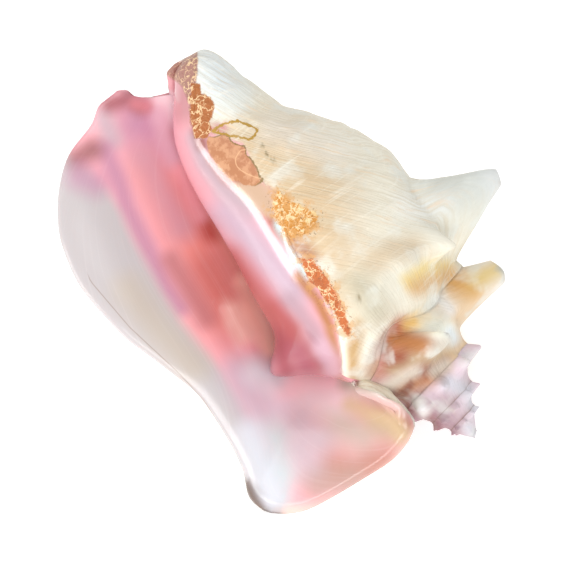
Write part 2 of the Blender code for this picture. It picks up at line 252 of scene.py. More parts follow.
def spine_rest(lag, height):
    """For each spine near this lag: how far up it the surface is, from 0 to 1, its height and its way out."""
    spines = [(c, h * MM, w * MM, up * MM, down * MM, *rest) for c, h, w, up, down, *rest in SPINES]
    for centre in np.arange(KNOBS_FROM, SPIRE_TURNS * 360, KNOB_STEP):
        drop = plain_drop(centre)
        sides = [share * drop for share in KNOB_REACH]
        spines.append((centre, KNOB_HEIGHT * drop, *sides, KNOB_LEAN, 0.0, KNOB_WORN))
    away = np.r_[outward(lag), 0.0]
    bearing = math.radians(LIP_BEARING + lag)
    onward = np.array([math.sin(bearing), math.cos(bearing), 0.0])
    for centre, tall, wide, up, down, on, rise, worn in spines:
        if abs(lag - centre) > 60:
            continue
        ring = SHELL_LENGTH - SHOULDER * plain_drop(centre)
        crest = 0.775 * plain_drop(centre)
        along = math.radians(lag - centre) * crest / wide
        above = height - ring
        across = above / np.where(above > 0, up, down)
        reach = np.sqrt(along**2 + across**2 + TIP_ROUND**2)
        rest = np.clip((1 - reach) / (1 - TIP_ROUND) / (1 - worn), 0, 1)
        yield rest, tall, away + on * onward + rise * np.array([0, 0, 1])


def spine_lift(lag, height):
    """How far the spines and knobs raise the surface there, as (b, c, a), and how far up a spine it is."""
    lift = np.zeros((len(height), 3))
    up = np.zeros(len(height))
    for rest, tall, way in spine_rest(lag, height):
        lift += (tall * rest**1.35)[:, None] * way
        up = np.maximum(up, rest**1.35 * min(1, tall / (14 * MM)))
    return lift, up


print("spines on the last two whorls:", len(SPINES))

# %% [markdown]
# ## The pad at the back of the mouth
#
# Where the older whorl disappears into the mouth, the animal built its glaze up into a rounded pad, close to
# where the lip meets the spire. It is one soft hill on the older whorl, so a bell curve each way makes it.

# %% Glaze pad
PAD = {"lag": 373, "height": 138, "tall": 14, "lag_spread": 26, "spread": 9}


def pad_lift(lag, height):
    """The pad's rise, away from the axis."""
    across = (height / MM - PAD["height"]) / PAD["spread"]
    rise = PAD["tall"] * MM * np.exp(-(across**2) - ((lag - PAD["lag"]) / PAD["lag_spread"]) ** 2)
    return rise[:, None] * np.r_[outward(lag), 0.0]


print("pad rises", PAD["tall"], "mm")

# %% [markdown]
# ## The lip's edge
#
# An adult stops winding and spreads its last rim into a broad wing. No spiral gives that shape, so the edge
# is a table of places, from the seam on the spire, up over the wing's corner, down its long side and into
# the siphon notch. Each row also says which way the wing runs out to it. Between the body and the edge the
# wing is one smooth surface that leaves the body as the spiral would and arrives as the table says.

# %% The lip's edge
LIP_EDGE = [
    (0.000, (28, 8, 165), (6, 14, 10)),
    (0.015, (29.5, 14, 165), (4, 20, 12)),
    (0.030, (26.5, 21, 169), (2, 24, 16)),
    (0.050, (21.5, 28, 177.2), (2, 26, 22)),
    (0.072, (17.3, 31, 186.2), (6, 24, 30)),
    (0.095, (18.5, 28, 195), (10, 20, 40)),
    (0.120, (26, 25, 200.5), (16, 14, 48)),
    (0.145, (37, 22, 202.5), (26, 12, 50)),
    (0.170, (52, 20, 201.2), (32, 8, 52)),
    (0.200, (69, 18, 199.2), (42, 4, 54)),
    (0.225, (80, 16, 197.2), (50, 0, 50)),
    (0.250, (89, 14, 193), (58, -4, 44)),
    (0.275, (97, 12, 185), (66, -8, 34)),
    (0.300, (98.6, 12, 177), (72, -10, 22)),
    (0.335, (92.5, 14, 163.5), (78, -12, 12)),
    (0.380, (88.7, 17, 148), (78, -12, 4)),
    (0.440, (86.8, 20, 127), (78, -12, 0)),
    (0.500, (92.3, 22, 104), (78, -12, -2)),
    (0.560, (98.3, 22, 82), (78, -12, -6)),
    (0.630, (100.2, 20, 57), (78, -10, -12)),
    (0.690, (96.2, 16, 36.5), (72, -8, -22)),
    (0.740, (87.2, 12, 20), (62, -6, -30)),
    (0.790, (68.3, 9, 3.5), (44, -2, -34)),
    (0.830, (52, 7, -1.5), (30, 0, -34)),
    (0.855, (43, 6, -6.5), (22, 2, -32)),
    (0.880, (34, 4, -6.5), (14, 2, -28)),
    (0.900, (29.5, -1, 4.4), (10, 2, -18)),
    (0.925, (25.5, -6, 11), (8, 0, -12)),
    (0.945, (18, -7, 10), (8, 2, -10)),
    (0.963, (13, -3, 3.6), (8, 4, -10)),
    (0.980, (11, 0, -0.3), (7, 4, -8)),
    (1.000, (4, 0, -1.4), (0, 0, -4)),
]
EDGE_BULGE = 2.0 * MM


def lip_at(share):
    shares = [row[0] for row in LIP_EDGE]
    places = np.array([row[1] for row in LIP_EDGE]) * MM
    pulls = np.array([row[2] for row in LIP_EDGE]) * MM
    return through(shares, places, share), through(shares, pulls, share)


def place(lag, radius, height):
    """Coil-frame points (b, c, a)."""
    return np.concatenate([outward(lag) * radius[..., None], height[..., None]], axis=-1)


print("points on the lip's edge:", len(LIP_EDGE))

# %% [markdown]
# ## The outer skin
#
# The outside is a grid: one column of points for each step of growth, each from its suture down to the
# siphon end. The columns are wound like the real shell, oldest first, and a column's first point is the very
# vertex of the older whorl that it grew on. Stitching whorls this way leaves no gap and no hidden overlap.
#
# The wing comes first, as a function: each station leaves the body smoothly and ends on the lip's edge.

# %% Spread the wing
# Spines fade out over this many degrees before the lip's edge
SPINES_FADE = 45


def spread_wing(grid, bare, shares, spiny, lags, per_turn, upper, lower):
    """Each station runs from the body, where it leaves it smoothly, out to the lip's edge."""
    count = len(grid) - 1
    stations = upper + lower + 1
    start = int(round(count - FLARE_FROM * per_turn / 360))
    lag_start = lags[start]
    step = 360.0 / per_turn
    clean, share = column(lag_start, upper, lower)
    older, _ = column(lag_start + step, upper, lower)
    here = place(np.full(stations, lag_start), clean[:, 0], clean[:, 1])
    there = place(np.full(stations, lag_start + step), older[:, 0], older[:, 1])
    pull_start = (here - there) / step * lag_start
    edge, pull_end = lip_at(share)
    edge = edge - EDGE_BULGE * pull_end / np.linalg.norm(pull_end, axis=1, keepdims=True)
    for k in range(start + 1, count + 1):
        u = 1 - lags[k] / lag_start
        run = (
            (1 + 2 * u) * (1 - u) ** 2 * here
            + u * (1 - u) ** 2 * pull_start
            + u * u * (3 - 2 * u) * edge
            - u * u * (1 - u) * pull_end
        )
        lift, up = spine_lift(lags[k], here[:, 2])
        bare[k] = run
        fade = smooth(lags[k] / SPINES_FADE)
        grid[k] = run + lift * fade
        spiny[k] = up * fade
        shares[k] = share


print("the wing starts", FLARE_FROM, "degrees before the edge")

# %% [markdown]
# ## Seat each whorl on the one before
#
# A new column starts on the older whorl's surface, which its spines have lifted. The column's first few
# millimetres are drawn there, less and less with distance, so the seam closes and the rest stays put.

# %% Seat the sutures
# How far a column is drawn: a share of its ramp, and on the last whorl a length
SEAT_SHARE, LIP_SEAT = 0.35, 22 * MM


def seat_sutures(grid, bare, lags, per_turn, upper):
    """Each column starts on the older whorl's surface."""
    apex = np.array([0, 0, SHELL_LENGTH - APEX_WEAR])
    for k in range(len(grid)):
        start_point = apex if k < per_turn else grid[k - per_turn, upper]
        if k < per_turn:
            for sheet in (grid, bare):
                sheet[k] = apex + (sheet[k] - apex) * k / per_turn
        distance = np.linalg.norm(bare[k] - bare[k, 0], axis=1)
        reach = max(SEAT_SHARE * distance[upper], 1e-5) if lags[k] > 360 else LIP_SEAT
        pull = np.clip(1 - distance / reach, 0, 1)[:, None] ** 2
        grid[k] = grid[k] + (start_point - grid[k, 0]) * pull
        bare[k] = bare[k] + (start_point - bare[k, 0]) * pull


print("worn off the apex, mm:", APEX_WEAR / MM)

# %% [markdown]
# ## Wind it
#
# All columns go into one grid, once with spines and once bare. The bare one gives the wall its direction,
# because the inside of an old shell doesn't follow its spines, so the mouth's wall is smooth.

# %% Wind the outer skin
# From here back the next whorl hides the spines, over so many degrees
HIDDEN_FROM, HIDDEN_OVER = 330, 25


def outer_grid(per_turn, upper, lower):
    """Points (column, station, xyz) with and without spines, each column's lag, shares, spine heights."""
    count = SPIRE_TURNS * per_turn
    lags = (count - np.arange(count + 1)) * 360.0 / per_turn
    stations = upper + lower + 1
    grid = np.zeros((count + 1, stations, 3))
    bare = np.zeros((count + 1, stations, 3))
    shares = np.zeros((count + 1, stations))
    spiny = np.zeros((count + 1, stations))
    for k, lag in enumerate(lags):
        points, shares[k] = column(max(lag, FLARE_FROM), upper, lower)
        if lag < FLARE_FROM:
            continue
        bare[k] = place(np.full(stations, lag), points[:, 0], points[:, 1])
        lift, spiny[k] = spine_lift(lag, points[:, 1])
        if lag > HIDDEN_FROM:
            hidden = smooth((lag - HIDDEN_FROM) / HIDDEN_OVER)
            lift[upper + 1 :] *= 1 - hidden
            lift[upper + 1 :] += pad_lift(lag, points[upper + 1 :, 1])
        grid[k] = bare[k] + lift
    spread_wing(grid, bare, shares, spiny, lags, per_turn, upper, lower)
    seat_sutures(grid, bare, lags, per_turn, upper)
    return grid, bare, lags, shares, spiny


def normals_of(sheet):
    along = np.gradient(sheet, axis=0)
    down = np.gradient(sheet, axis=1)
    normal = np.cross(down, along)
    length = np.linalg.norm(normal, axis=2, keepdims=True)
    return normal / np.where(length > 1e-12, length, 1)


PER_TURN, UPPER, LOWER = 192, 36, 116
LAST = UPPER + LOWER
grid, bare, lags, shares, spiny = outer_grid(PER_TURN, UPPER, LOWER)
COUNT = len(grid) - 1
POCKET = int(round(POCKET_DEPTH * PER_TURN / 360))
out_way = normals_of(bare)
print("columns", COUNT + 1, "stations", LAST + 1)

# %% [markdown]
# ## A ruler that follows the growth
#
# Growth lines cross a whorl from suture to siphon, and fine cords run round it the other way. To draw both
# at their real spacing, every vertex keeps two distances in millimetres: how far back in growth it lies, and
# how far it is from its suture. Pattern textures later use these in place of plain coordinates.

# %% Measure along and across the growth
column_step = 0.8 * plain_drop(lags[::-1]) * math.radians(360 / PER_TURN)
grown = np.r_[0, np.cumsum(column_step)][: COUNT + 1][::-1] / MM
steps_down = np.linalg.norm(np.diff(bare, axis=1), axis=2)
from_suture = np.concatenate([np.zeros((COUNT + 1, 1)), np.cumsum(steps_down, axis=1)], axis=1) / MM
print("growth along the shoulder, mm:", round(float(grown[0])))

# %% [markdown]
# ## Number the outer vertices
#
# The real shell is one closed skin: a wall with thickness, not a sheet. The next cells stitch it. First
# each point of the outer grid becomes one vertex, and a column's first point is the older whorl's own.

# %% Number the outer vertices
vertices, faces, notes = [], [], []


def add(point, k, i, side):
    """One vertex, and its column, station and side: 0 outside, 1 mouth wall, between on the rim."""
    vertices.append(point)
    notes.append((k, i, side))
    return len(vertices) - 1


apex = add(np.array([0, 0, SHELL_LENGTH - APEX_WEAR]), 0, 0, 0)
tip = add(np.array([0, 0, TIP_DEPTH]), COUNT, LAST, 0)
index = -np.ones(grid.shape[:2], int)
for k in range(COUNT + 1):
    reach = LAST if k >= COUNT - PER_TURN - POCKET else UPPER
    for i in range(reach + 1):
        if k == 0 or (i == 0 and k < PER_TURN):
            index[k, i] = apex
        elif i == 0:
            index[k, i] = index[k - PER_TURN, UPPER]
        elif i == LAST:
            index[k, i] = tip
        else:
            index[k, i] = add(grid[k, i], k, i, 0)

print("outer vertices:", len(vertices))

# %% [markdown]
# ## The mouth's wall
#
# The inside of the mouth is the same wound grid, moved inward by the wall's thickness. It runs back from
# the lip for a little over half a turn, which is as deep as anyone can look. Near the older whorl and near
# the siphon end it is drawn onto the outside's own vertices, so both sheets meet there.

# %% Move the mouth's wall inward
THINNED_BY = 0.55
SEAT_REACH = 24 * MM


def thin_at(share):
    """The wall thins to a knife edge in the siphon notch and at the suture."""
    return np.maximum(smooth((share - 0.78) / 0.1), smooth(1 - share / 0.05))


inner = -np.ones((POCKET + 1, LAST + 1), int)
wall = np.zeros((POCKET + 1, LAST + 1, 3))
for n in range(POCKET + 1):
    k = COUNT - POCKET + n
    old = k - PER_TURN
    thick = WALL + (LIP_WALL - WALL) * smooth(1 - lags[k] / FLARE_FROM)
    thick = thick * (1 - THINNED_BY * smooth(1 - lags[k] / 90) * thin_at(shares[k]))
    offset = bare[k] - out_way[k] * thick[:, None]
    head = grid[old, UPPER + 1] - offset[0]
    foot = grid[old, LAST - 1] - offset[LAST]
    from_head = np.linalg.norm(grid[k] - grid[k, 0], axis=1)
    from_foot = np.linalg.norm(grid[k] - grid[k, LAST], axis=1)
    offset = offset + head * (np.clip(1 - from_head / SEAT_REACH, 0, 1) ** 2)[:, None]
    wall[n] = offset + foot * (np.clip(1 - from_foot / SEAT_REACH, 0, 1) ** 2)[:, None]
print("wall columns:", len(wall))

# %% [markdown]
# ## Glaze fills the hollows
#
# Layer after layer of glaze fills the hollow under the shoulder and leaves the mouth's wall soft. Each
# column is averaged with a bell curve along its length. It could be a smoothing modifier, but that would
# also pull the wall off the outside's vertices, while this leaves both ends of a column alone.

# %% Even out the wall
SOFT_STATIONS = 11
FROM_STATION, TO_STATION = 5, 92
bell = np.exp(-0.5 * (np.arange(-3 * SOFT_STATIONS, 3 * SOFT_STATIONS + 1) / SOFT_STATIONS) ** 2)
bell /= bell.sum()
spread = np.pad(wall, ((0, 0), (3 * SOFT_STATIONS,) * 2, (0, 0)), mode="edge")
evened = np.stack([np.tensordot(bell, spread[:, i : i + len(bell)], (0, 1)) for i in range(LAST + 1)], axis=1)
station = np.arange(LAST + 1)
share_even = smooth((station - FROM_STATION) / 16) * smooth((TO_STATION - station) / 34)
keep_edge = 0.25 + 0.75 * smooth(lags[COUNT - POCKET :] / 30)
wall += (evened - wall) * (share_even * keep_edge[:, None])[..., None]
for n in range(POCKET + 1):
    k = COUNT - POCKET + n
    inner[n, 0] = index[k - PER_TURN, UPPER + 1]
    inner[n, LAST] = index[k - PER_TURN, LAST - 1]
    for i in range(1, LAST):
        inner[n, i] = add(wall[n, i], k, i, 1)
left_over = float(np.abs(evened - wall).max()) / MM
print("most that the wall still differs from its average, mm:", round(left_over, 1))

# %% [markdown]
# ## Join the faces
#
# Four neighbouring grid points make a face. Where two of them are the same vertex, as at the apex, the face
# is a triangle. Deep whorls that nobody can see are left out, and the skin closes before them.

# %% Join the faces
def quad(a, b, c, d):
    ring = []
    for corner in (a, b, c, d):
        if corner not in ring:
            ring.append(int(corner))
    if len(ring) > 2:
        faces.append(ring)


first_open = COUNT - PER_TURN
for k in range(COUNT):
    for i in range(LAST):
        if i >= UPPER and k < first_open - POCKET:
            break
        if k < first_open and i in (UPPER, LAST - 1):
            continue
        quad(index[k, i], index[k + 1, i], index[k + 1, i + 1], index[k, i + 1])
for n in range(POCKET):
    for i in range(LAST):
        quad(inner[n, i], inner[n, i + 1], inner[n + 1, i + 1], inner[n + 1, i])
print("faces of both sheets:", len(faces))

# %% [markdown]
# ## Round the lip's edge
#
# The rim of an adult is thick and rounded. Half a circle of vertices bridges each pair of points on the two
# sheets and bulges onward in the direction of growth. A bevel could round it too, but on a wall that thins
# to a knife edge in the notch it would overlap itself.

# %% Round the lip's edge
EDGE_ROWS = 6
onward = grid[COUNT] - grid[COUNT - 1]
onward /= np.maximum(np.linalg.norm(onward, axis=1, keepdims=True), 1e-9)
rows = [index[COUNT]]
for r in range(1, EDGE_ROWS + 1):
    turn = math.pi * r / (EDGE_ROWS + 1)
    row = index[COUNT].copy()
    for i in range(1, LAST):
        a, b = np.array(vertices[index[COUNT, i]]), np.array(vertices[inner[POCKET, i]])
        side = (a + b) / 2 + (a - b) / 2 * math.cos(turn)
        row[i] = add(side + onward[i] * EDGE_BULGE * math.sin(turn), COUNT, i, r / (EDGE_ROWS + 1))
    rows.append(row)
rows.append(inner[POCKET])
for first, second in zip(rows, rows[1:]):
    for i in range(LAST):
        quad(first[i], second[i], second[i + 1], first[i + 1])
print("rows round the rim:", len(rows))

# %% [markdown]
# ## Close the pocket
#
# Deep in the dark, two rows of different length are zipped together with triangles. The zip always steps
# on the side that lags behind.

# %% Close the pocket
side_a = [int(index[first_open - POCKET, i]) for i in range(UPPER + 1, LAST)]
side_b = [int(inner[0, i]) for i in range(0, LAST + 1)]
i = j = 0
while i < len(side_a) - 1 or j < len(side_b) - 1:
    if j / (len(side_b) - 1) <= i / (len(side_a) - 1):
        ring = [side_a[i], side_b[j + 1], side_b[j]]
        j += 1
    else:
        ring = [side_a[i], side_a[i + 1], side_b[j]]
        i += 1
    if len(set(ring)) == 3:
        faces.append(ring)
print(len(vertices), "vertices,", len(faces), "faces")

# %% [markdown]
# ## Notes on every vertex
#
# The materials need to know where they are on the shell. Vertex notes, which Blender calls attributes, carry
# that: the growth ruler, the height up a spine, the place in the coil. They travel with the mesh, so a
# pattern stays put from every side. Growth lines cross the ramp straight and then sweep back over the body,
# so the ruler's age slants there. The last bit of the siphon end has no glaze and counts as outside.
#
# To place a mark on the front, it helps to have a flat map of what faces whoever looks into the mouth: x
# runs to the right and y down, both in millimetres from the siphon end's axis point.

# %% Gather the notes
points = np.array(vertices)
col, stn = np.array([n[0] for n in notes]), np.array([n[1] for n in notes])
side_of = np.array([n[2] for n in notes], float)
TIP_SHARE = 0.955
side_of[shares[col, stn] > TIP_SHARE] = 0
lag_of = lags[col]
# Cosine and sine of the 37 degrees by which the shell's axis is turned in the picture
TURN_COS, TURN_SIN = 0.795, 0.607
front_x = (-TURN_COS * points[:, 0] + TURN_SIN * points[:, 2]) / MM
front_y = (TURN_SIN * points[:, 0] + TURN_COS * points[:, 2]) / MM
front_map = np.stack([front_x, front_y], axis=1)
LINE_SLANT = 0.85
past_ramp = np.clip(from_suture[col, stn] - 0.55 * plain_drop(lag_of) / MM, 0, None)
age = grown[col] - LINE_SLANT * past_ramp
ruler = np.stack([age, from_suture[col, stn], side_of * 400], axis=1)
spine = spiny[col, stn] * (side_of < 0.5)
standing = points * (1, -1, 1)


def rounded_normals(points, faces):
    """The outward way of every vertex, from the faces round it."""
    total = np.zeros_like(points)
    for size in (3, 4):
        ring = np.array([f for f in faces if len(f) == size])
        one = points[ring[:, 2]] - points[ring[:, 0]]
        other = points[ring[:, size - 1]] - points[ring[:, 1]]
        way = np.cross(one, other)
        for n in range(size):
            np.add.at(total, ring[:, n], way)
    return total / np.maximum(np.linalg.norm(total, axis=1, keepdims=True), 1e-15)


facing = -rounded_normals(standing, faces)[:, 1]
print("share of the skin that faces the viewer:", round(float((facing > 0).mean()), 2))

# %% [markdown]
# ## Brushes
#
# The shell's colour is not a pattern but a history: pink glaze laid on thick or thin, rust from the sea bed,
# chalk worn white. Two brushes are enough to paint it on the vertices. A stroke is soft all the way from its
# middle line, a patch is full inside its outline and soft at its edge. Colours are written as sRGB hex and
# turned to linear by one function, because light adds up in linear numbers.

# %% Brushes
def linear(code):
    """An sRGB hex colour as linear red, green and blue."""
    parts = np.array([int(code[n : n + 2], 16) for n in (1, 3, 5)]) / 255
    return np.where(parts <= 0.04045, parts / 12.92, ((parts + 0.055) / 1.055) ** 2.4)


def beside(line):
    """Distance in millimetres from each vertex to a line on the front map."""
    best = np.full(len(front_map), 1e9)
    line = np.array(line, float).reshape(-1, 2)
    for start, end in zip(line, line[1:] if len(line) > 1 else line):
        run = end - start
        u = np.clip(((front_map - start) @ run) / max(run @ run, 1e-9), 0, 1)[:, None]
        best = np.minimum(best, np.linalg.norm(front_map - start - u * run, axis=1))
    return best


def within(ring):
    """Distance in millimetres to an outline on the front map, positive inside it."""
    ring = np.array(ring, float)
    x, y = front_map.T
    hit = np.zeros(len(front_map), bool)
    for (x0, y0), (x1, y1) in zip(ring, np.roll(ring, -1, axis=0)):
        spans = (y0 > y) != (y1 > y)
        hit ^= spans & (x < (x1 - x0) * (y - y0) / (y1 - y0 if y1 != y0 else 1e-9) + x0)
    return np.where(hit, 1, -1) * beside(np.vstack([ring, ring[:1]]))


def dab(sheet, colour, weight):
    tint[:] = tint + (linear(colour) - tint) * (weight * sheet)[:, None]


def stroke(sheet, colour, strength, reach, *line):
    dab(sheet, colour, strength * smooth(1 - beside(line) / reach))


def patch(sheet, colour, strength, soft, *ring):
    dab(sheet, colour, strength * smooth(0.5 + within(ring) / soft))


tint = np.zeros((len(points), 3))
print("ivory in linear numbers:", linear("#ECE9DA").round(3))

# %% [markdown]
# ## The colours in the box
#
# A painter names the tubes before starting. These are the colours that the shell shows, from bare chalk
# through the stains of the sea bed to the pinks of its glaze. Every stroke below takes one of them, so a
# shell of another tint is one change here.

# %% Colours
# Chalk, and what whitens it
WHITE_CHALK = "#FBFCFB"
CREAM = "#FBFBE4"
COLD_WHITE = "#E2EBEF"
# Ice paints only a highlight: the window's streak on the callus
ICE = "#D7FAFC"
SKY = "#90B8D8"
WORN_WHITE = "#F3F2F0"
IVORY = "#ECE7D6"
SEA_GREY = "#BEC8C9"
PEARL = "#D0D1D9"
ASH = "#B4B0B0"

# Sand, ochre and rust
BONE = "#D4CBBD"
STONE = "#B4AC94"
PUTTY = "#B6A99C"
KHAKI = "#AC9875"
BUFF = "#C9AE88"
WHEAT = "#CFB297"
FAWN = "#DDBB92"
STRAW = "#D8BE7C"
LEMON = "#ECD07C"
HONEY = "#D2A05A"
GOLD = "#E8B84E"
OCHRE = "#B8862A"
COPPER = "#B1733C"
UMBER = "#A1551F"
FOXY = "#BA4E19"
BRICK = "#8C3C19"
CHESTNUT = "#8A523F"
OLIVE = "#6B5A2E"
SOOT = "#604C42"

# Pink, from pale to deep
PETAL = "#FFC8D0"
MILK_PINK = "#E8D4D9"
LILAC = "#D8C4D0"
APRICOT = "#FCC6B7"
BLUSH = "#E1BBAE"
SHELL_PINK = "#E6A5AD"
ORCHID = "#D2A8B6"
WISTERIA = "#C5ABB9"
MAUVE = "#B9A4AC"
HEATHER = "#B4809A"
THISTLE = "#BE8D99"
OLD_ROSE = "#C88F93"
SALMON = "#DB8478"
CORAL = "#DF9E96"
ROSE = "#C97A82"
RASPBERRY = "#D8708C"
TERRACOTTA = "#B37C6C"
DUSKY = "#B57375"
CLAY = "#B15D5B"
BERRY = "#A35463"
BRIAR = "#A05058"
DAMSON = "#924A50"
SMOKED_ROSE = "#8A5353"
MAROON = "#82303D"
BLOOD = "#AD3527"
GREY_MAUVE = "#AB8B96"
BROWN_MAUVE = "#9A7068"
ROSY_BROWN = "#B29288"
print("white chalk in linear numbers:", linear(WHITE_CHALK).round(3))

# %% [markdown]
# ## Paint the outside
#
# Outside, the shell is ivory chalk, creamier near the mouth and bluish white where it is worn: at the siphon
# end and on the spine tips. The spire is older and was covered less, so it is a cold lilac white with mauve
# brown in its sutures, and the whorl before the last is tan between its spines.

# %% Outside colours
outside = (side_of < 0.5).astype(float)
front = outside * smooth(facing * 3 + 0.4) * smooth((lag_of - 115) / 20)
dab(outside, IVORY, 1.0)
older = smooth((lag_of - 330) / 60) * outside
dab(older, FAWN, 0.8)
spire = smooth((lag_of - 600) / 90) * outside
dab(spire, LILAC, 0.95)
near_suture = np.exp(-from_suture[col, stn] / np.maximum(0.10 * plain_drop(lag_of) / MM, 0.5))
dab(spire * near_suture, BROWN_MAUVE, 0.8)
dab(outside * smooth((spine - 0.55) / 0.4), WORN_WHITE, 0.9)

# Ochre warms the side of the last whorl. Its siphon end, first spine and crest are worn pale.
patch(front, OCHRE, 0.6, 30, (9, 28), (52, 28), (75, 55), (79, 92), (73, 123), (52, 92), (25, 60))
stroke(front, COLD_WHITE, 0.9, 22, (12, 3), (17, 14))
stroke(front, SEA_GREY, 0.6, 26, (116, 60), (132, 58))
stroke(front, WHITE_CHALK, 0.35, 14, (41, 33), (68, 42))
stroke(front, WHITE_CHALK, 0.35, 10, (98, 67), (116, 67))
# Under the shoulder: a buff hollow, and a lemon stain towards the older whorl
stroke(front, BUFF, 0.7, 11, (85, 92), (94, 87), (103, 86))
stroke(front, LEMON, 0.85, 7, (101, 101), (109, 96), (117, 95))
print("the last whorl's warm side is", OCHRE)

# %% [markdown]
# ## The older whorls, and the last touches
#
# The whorl before the last was sheltered by its spines and kept its browns between them. The spire behind
# it is cold. The last touches go over what is there, as a painter would add them at the end.

# %% Older whorls
# Brown between the spines of the whorl before the last
stroke(front, UMBER, 0.8, 12, (88, 142), (100, 139), (109, 132))
stroke(front, OCHRE, 0.8, 6, (78, 121), (76, 132), (75, 146))
stroke(front, COPPER, 0.9, 9, (98, 150), (106, 146), (114, 141))
stroke(front, BRICK, 0.9, 8, (107, 142), (116, 137))
# Its long spine, from honey at the foot to a cold tip
stroke(front, HONEY, 0.95, 9, (122, 101), (129, 105))
stroke(front, STRAW, 0.9, 9, (133, 100), (141, 96))
stroke(front, SKY, 0.95, 5, (145, 94), (148, 97))
stroke(front, BUFF, 0.85, 7, (112, 135), (118, 132))
# The spire: maroon in its seam on the left, which is painted shade, and pearl on its ridges at the right,
# which are painted highlights
stroke(front, MAROON, 0.9, 10, (104, 159), (111, 164), (119, 172))
stroke(front, GREY_MAUVE, 0.8, 9, (116, 157), (122, 168))
stroke(front, PEARL, 0.8, 7, (119, 147), (128, 151), (133, 160))
stroke(front, PEARL, 0.8, 6, (129, 168), (134, 173))
# The middle spine of the older whorl: rust brown round its foot, which also stands for the shade under the
# last whorl's edge, and cream on its crest
stroke(front, FOXY, 0.9, 9, (91, 133), (95, 127), (98, 122))
stroke(front, CREAM, 0.9, 9, (104, 120), (111, 122), (118, 124))
stroke(front, COLD_WHITE, 0.9, 6, (120, 124), (122, 127))
stroke(front, BRICK, 0.9, 6, (101, 131), (106, 131), (108, 131))
stroke(front, KHAKI, 0.8, 7, (95, 140), (103, 136), (112, 133))
stroke(front, BONE, 0.85, 6, (90, 150), (98, 145), (104, 142))
# Painted shadow: a dark crescent in the recess where the spire meets the lip
patch(front, CHESTNUT, 0.95, 3, (91, 154), (98, 150), (102, 146), (104, 148), (102, 151), (100, 154),
    (101, 157), (102, 159), (98, 156))
# Grey under the shoulder, and olive specks
stroke(front, STONE, 0.8, 14, (78, 103), (85, 114))
stroke(front, OLIVE, 0.9, 1.5, (77.5, 108.5), (78, 109.5))
stroke(front, OLIVE, 0.8, 1.4, (35, 40.5), (35.5, 41))
stroke(front, OLIVE, 0.8, 1.4, (37, 44), (37.5, 45))
stroke(front, OLIVE, 0.8, 1.4, (39.5, 47), (40.5, 47))
# Last touches of light and stain
stroke(front, BONE, 0.85, 6, (111, 131), (118, 129))
stroke(front, WHITE_CHALK, 0.8, 6, (116, 110), (119, 114))
stroke(front, BONE, 0.8, 6, (113, 142), (118, 139))
stroke(front, WHITE_CHALK, 0.8, 5, (106, 156), (108, 160))
stroke(front, HONEY, 0.8, 8, (104, 104), (111, 102), (118, 99))
stroke(front, GOLD, 0.8, 6, (101, 121), (107, 118))
stroke(front, BRICK, 0.95, 7, (91, 132), (93, 136), (97, 135))
stroke(front, COPPER, 0.9, 8, (95, 128), (100, 128), (107, 130))
stroke(front, ROSE, 0.8, 5, (11, 34), (17, 32))
stroke(front, CREAM, 0.95, 4.5, (68, 123), (71, 137), (73, 150))

# %% [markdown]
# ## Paint the callus
#
# The callus is the glaze that the animal laid over the older whorl beside the mouth. It is pale pink where
# it faces out and peach where it is thin and the chalk shows through. As it rolls in, turning away from
# whoever looks into the mouth, it is painted a deeper pink that stands for shade.

# %% Callus colours
GLAZE = [(5, -8), (4.5, 23.5), (7, 34.5), (17, 36), (26.5, 39.5), (29.5, 45.5), (35, 56.5), (41, 61),
    (43.5, 66.5), (45, 76), (49, 85.5), (54.5, 96), (60.5, 103), (66, 114.5), (69.5, 125.5), (71, 137),
    (71.5, 151.5), (52, 168.5), (-38.5, 168.5), (-38.5, -8)]
on_body = (lag_of > 190) | (front_y < 20)
glazed_mm = np.where((facing > 0.02) & on_body, within(GLAZE), -20)
below = (stn > UPPER) & (side_of < 0.5)
glazed_mm = np.where(below & (lag_of > 350), np.maximum(glazed_mm, 6), glazed_mm)
glazed_mm = np.where(side_of > 0, 20, glazed_mm)
callus = outside * smooth(0.5 + glazed_mm / 2)
dab(callus, SHELL_PINK, 1.0)
# Painted shade: the callus turns a deeper pink where it faces away from whoever looks into the mouth
hidden = callus * smooth(0.3 - facing * 3)
dab(hidden, RASPBERRY, 0.9)
# Cool pink down the middle. The redder pinks where the callus rolls into the mouth are painted shade.
stroke(callus, WISTERIA, 1.0, 16, (18, 71), (30, 83), (41, 96), (48, 105))
stroke(callus, CLAY, 0.9, 12, (21, 92), (32, 106), (45, 123), (61, 139))
stroke(callus, GREY_MAUVE, 0.8, 9, (48, 110), (58, 123), (66, 139))
stroke(callus, MAUVE, 0.9, 9, (5, 37), (9, 48), (17, 59), (30, 68))
stroke(callus, BRIAR, 0.95, 12, (44, 126), (44, 133), (46, 142))
stroke(callus, BERRY, 0.8, 9, (52, 133), (56, 141))
stroke(callus, CLAY, 0.8, 8, (40, 114), (48, 123))
# Beside the crusts: brown and wheat, then a painted highlight, a bright bluish streak along the callus's edge
stroke(callus, UMBER, 0.9, 8, (15, 45), (21, 53), (30, 59), (37, 66), (43, 77))
patch(callus, WHEAT, 0.85, 3, (22, 57), (35, 57), (42, 60), (45, 64), (45, 75), (41, 74), (36, 72),
    (30, 67), (25, 63))
stroke(callus, ICE, 0.9, 4.5, (43, 76), (47, 84), (51, 92), (55, 98))
stroke(front, UMBER, 0.9, 8, (48, 81), (52, 86), (56, 91))
stroke(callus, COPPER, 0.9, 4.5, (51, 99), (60, 110), (65, 121), (68, 133), (70, 148))
# The roll at the siphon end, and two last touches
stroke(callus, OLD_ROSE, 1.0, 12, (-2, 2), (0, 12), (1, 24))
stroke(callus, ORCHID, 0.85, 7, (62, 131), (67, 137), (68, 142))
stroke(callus, BRICK, 0.8, 5, (6, 34), (8, 40))

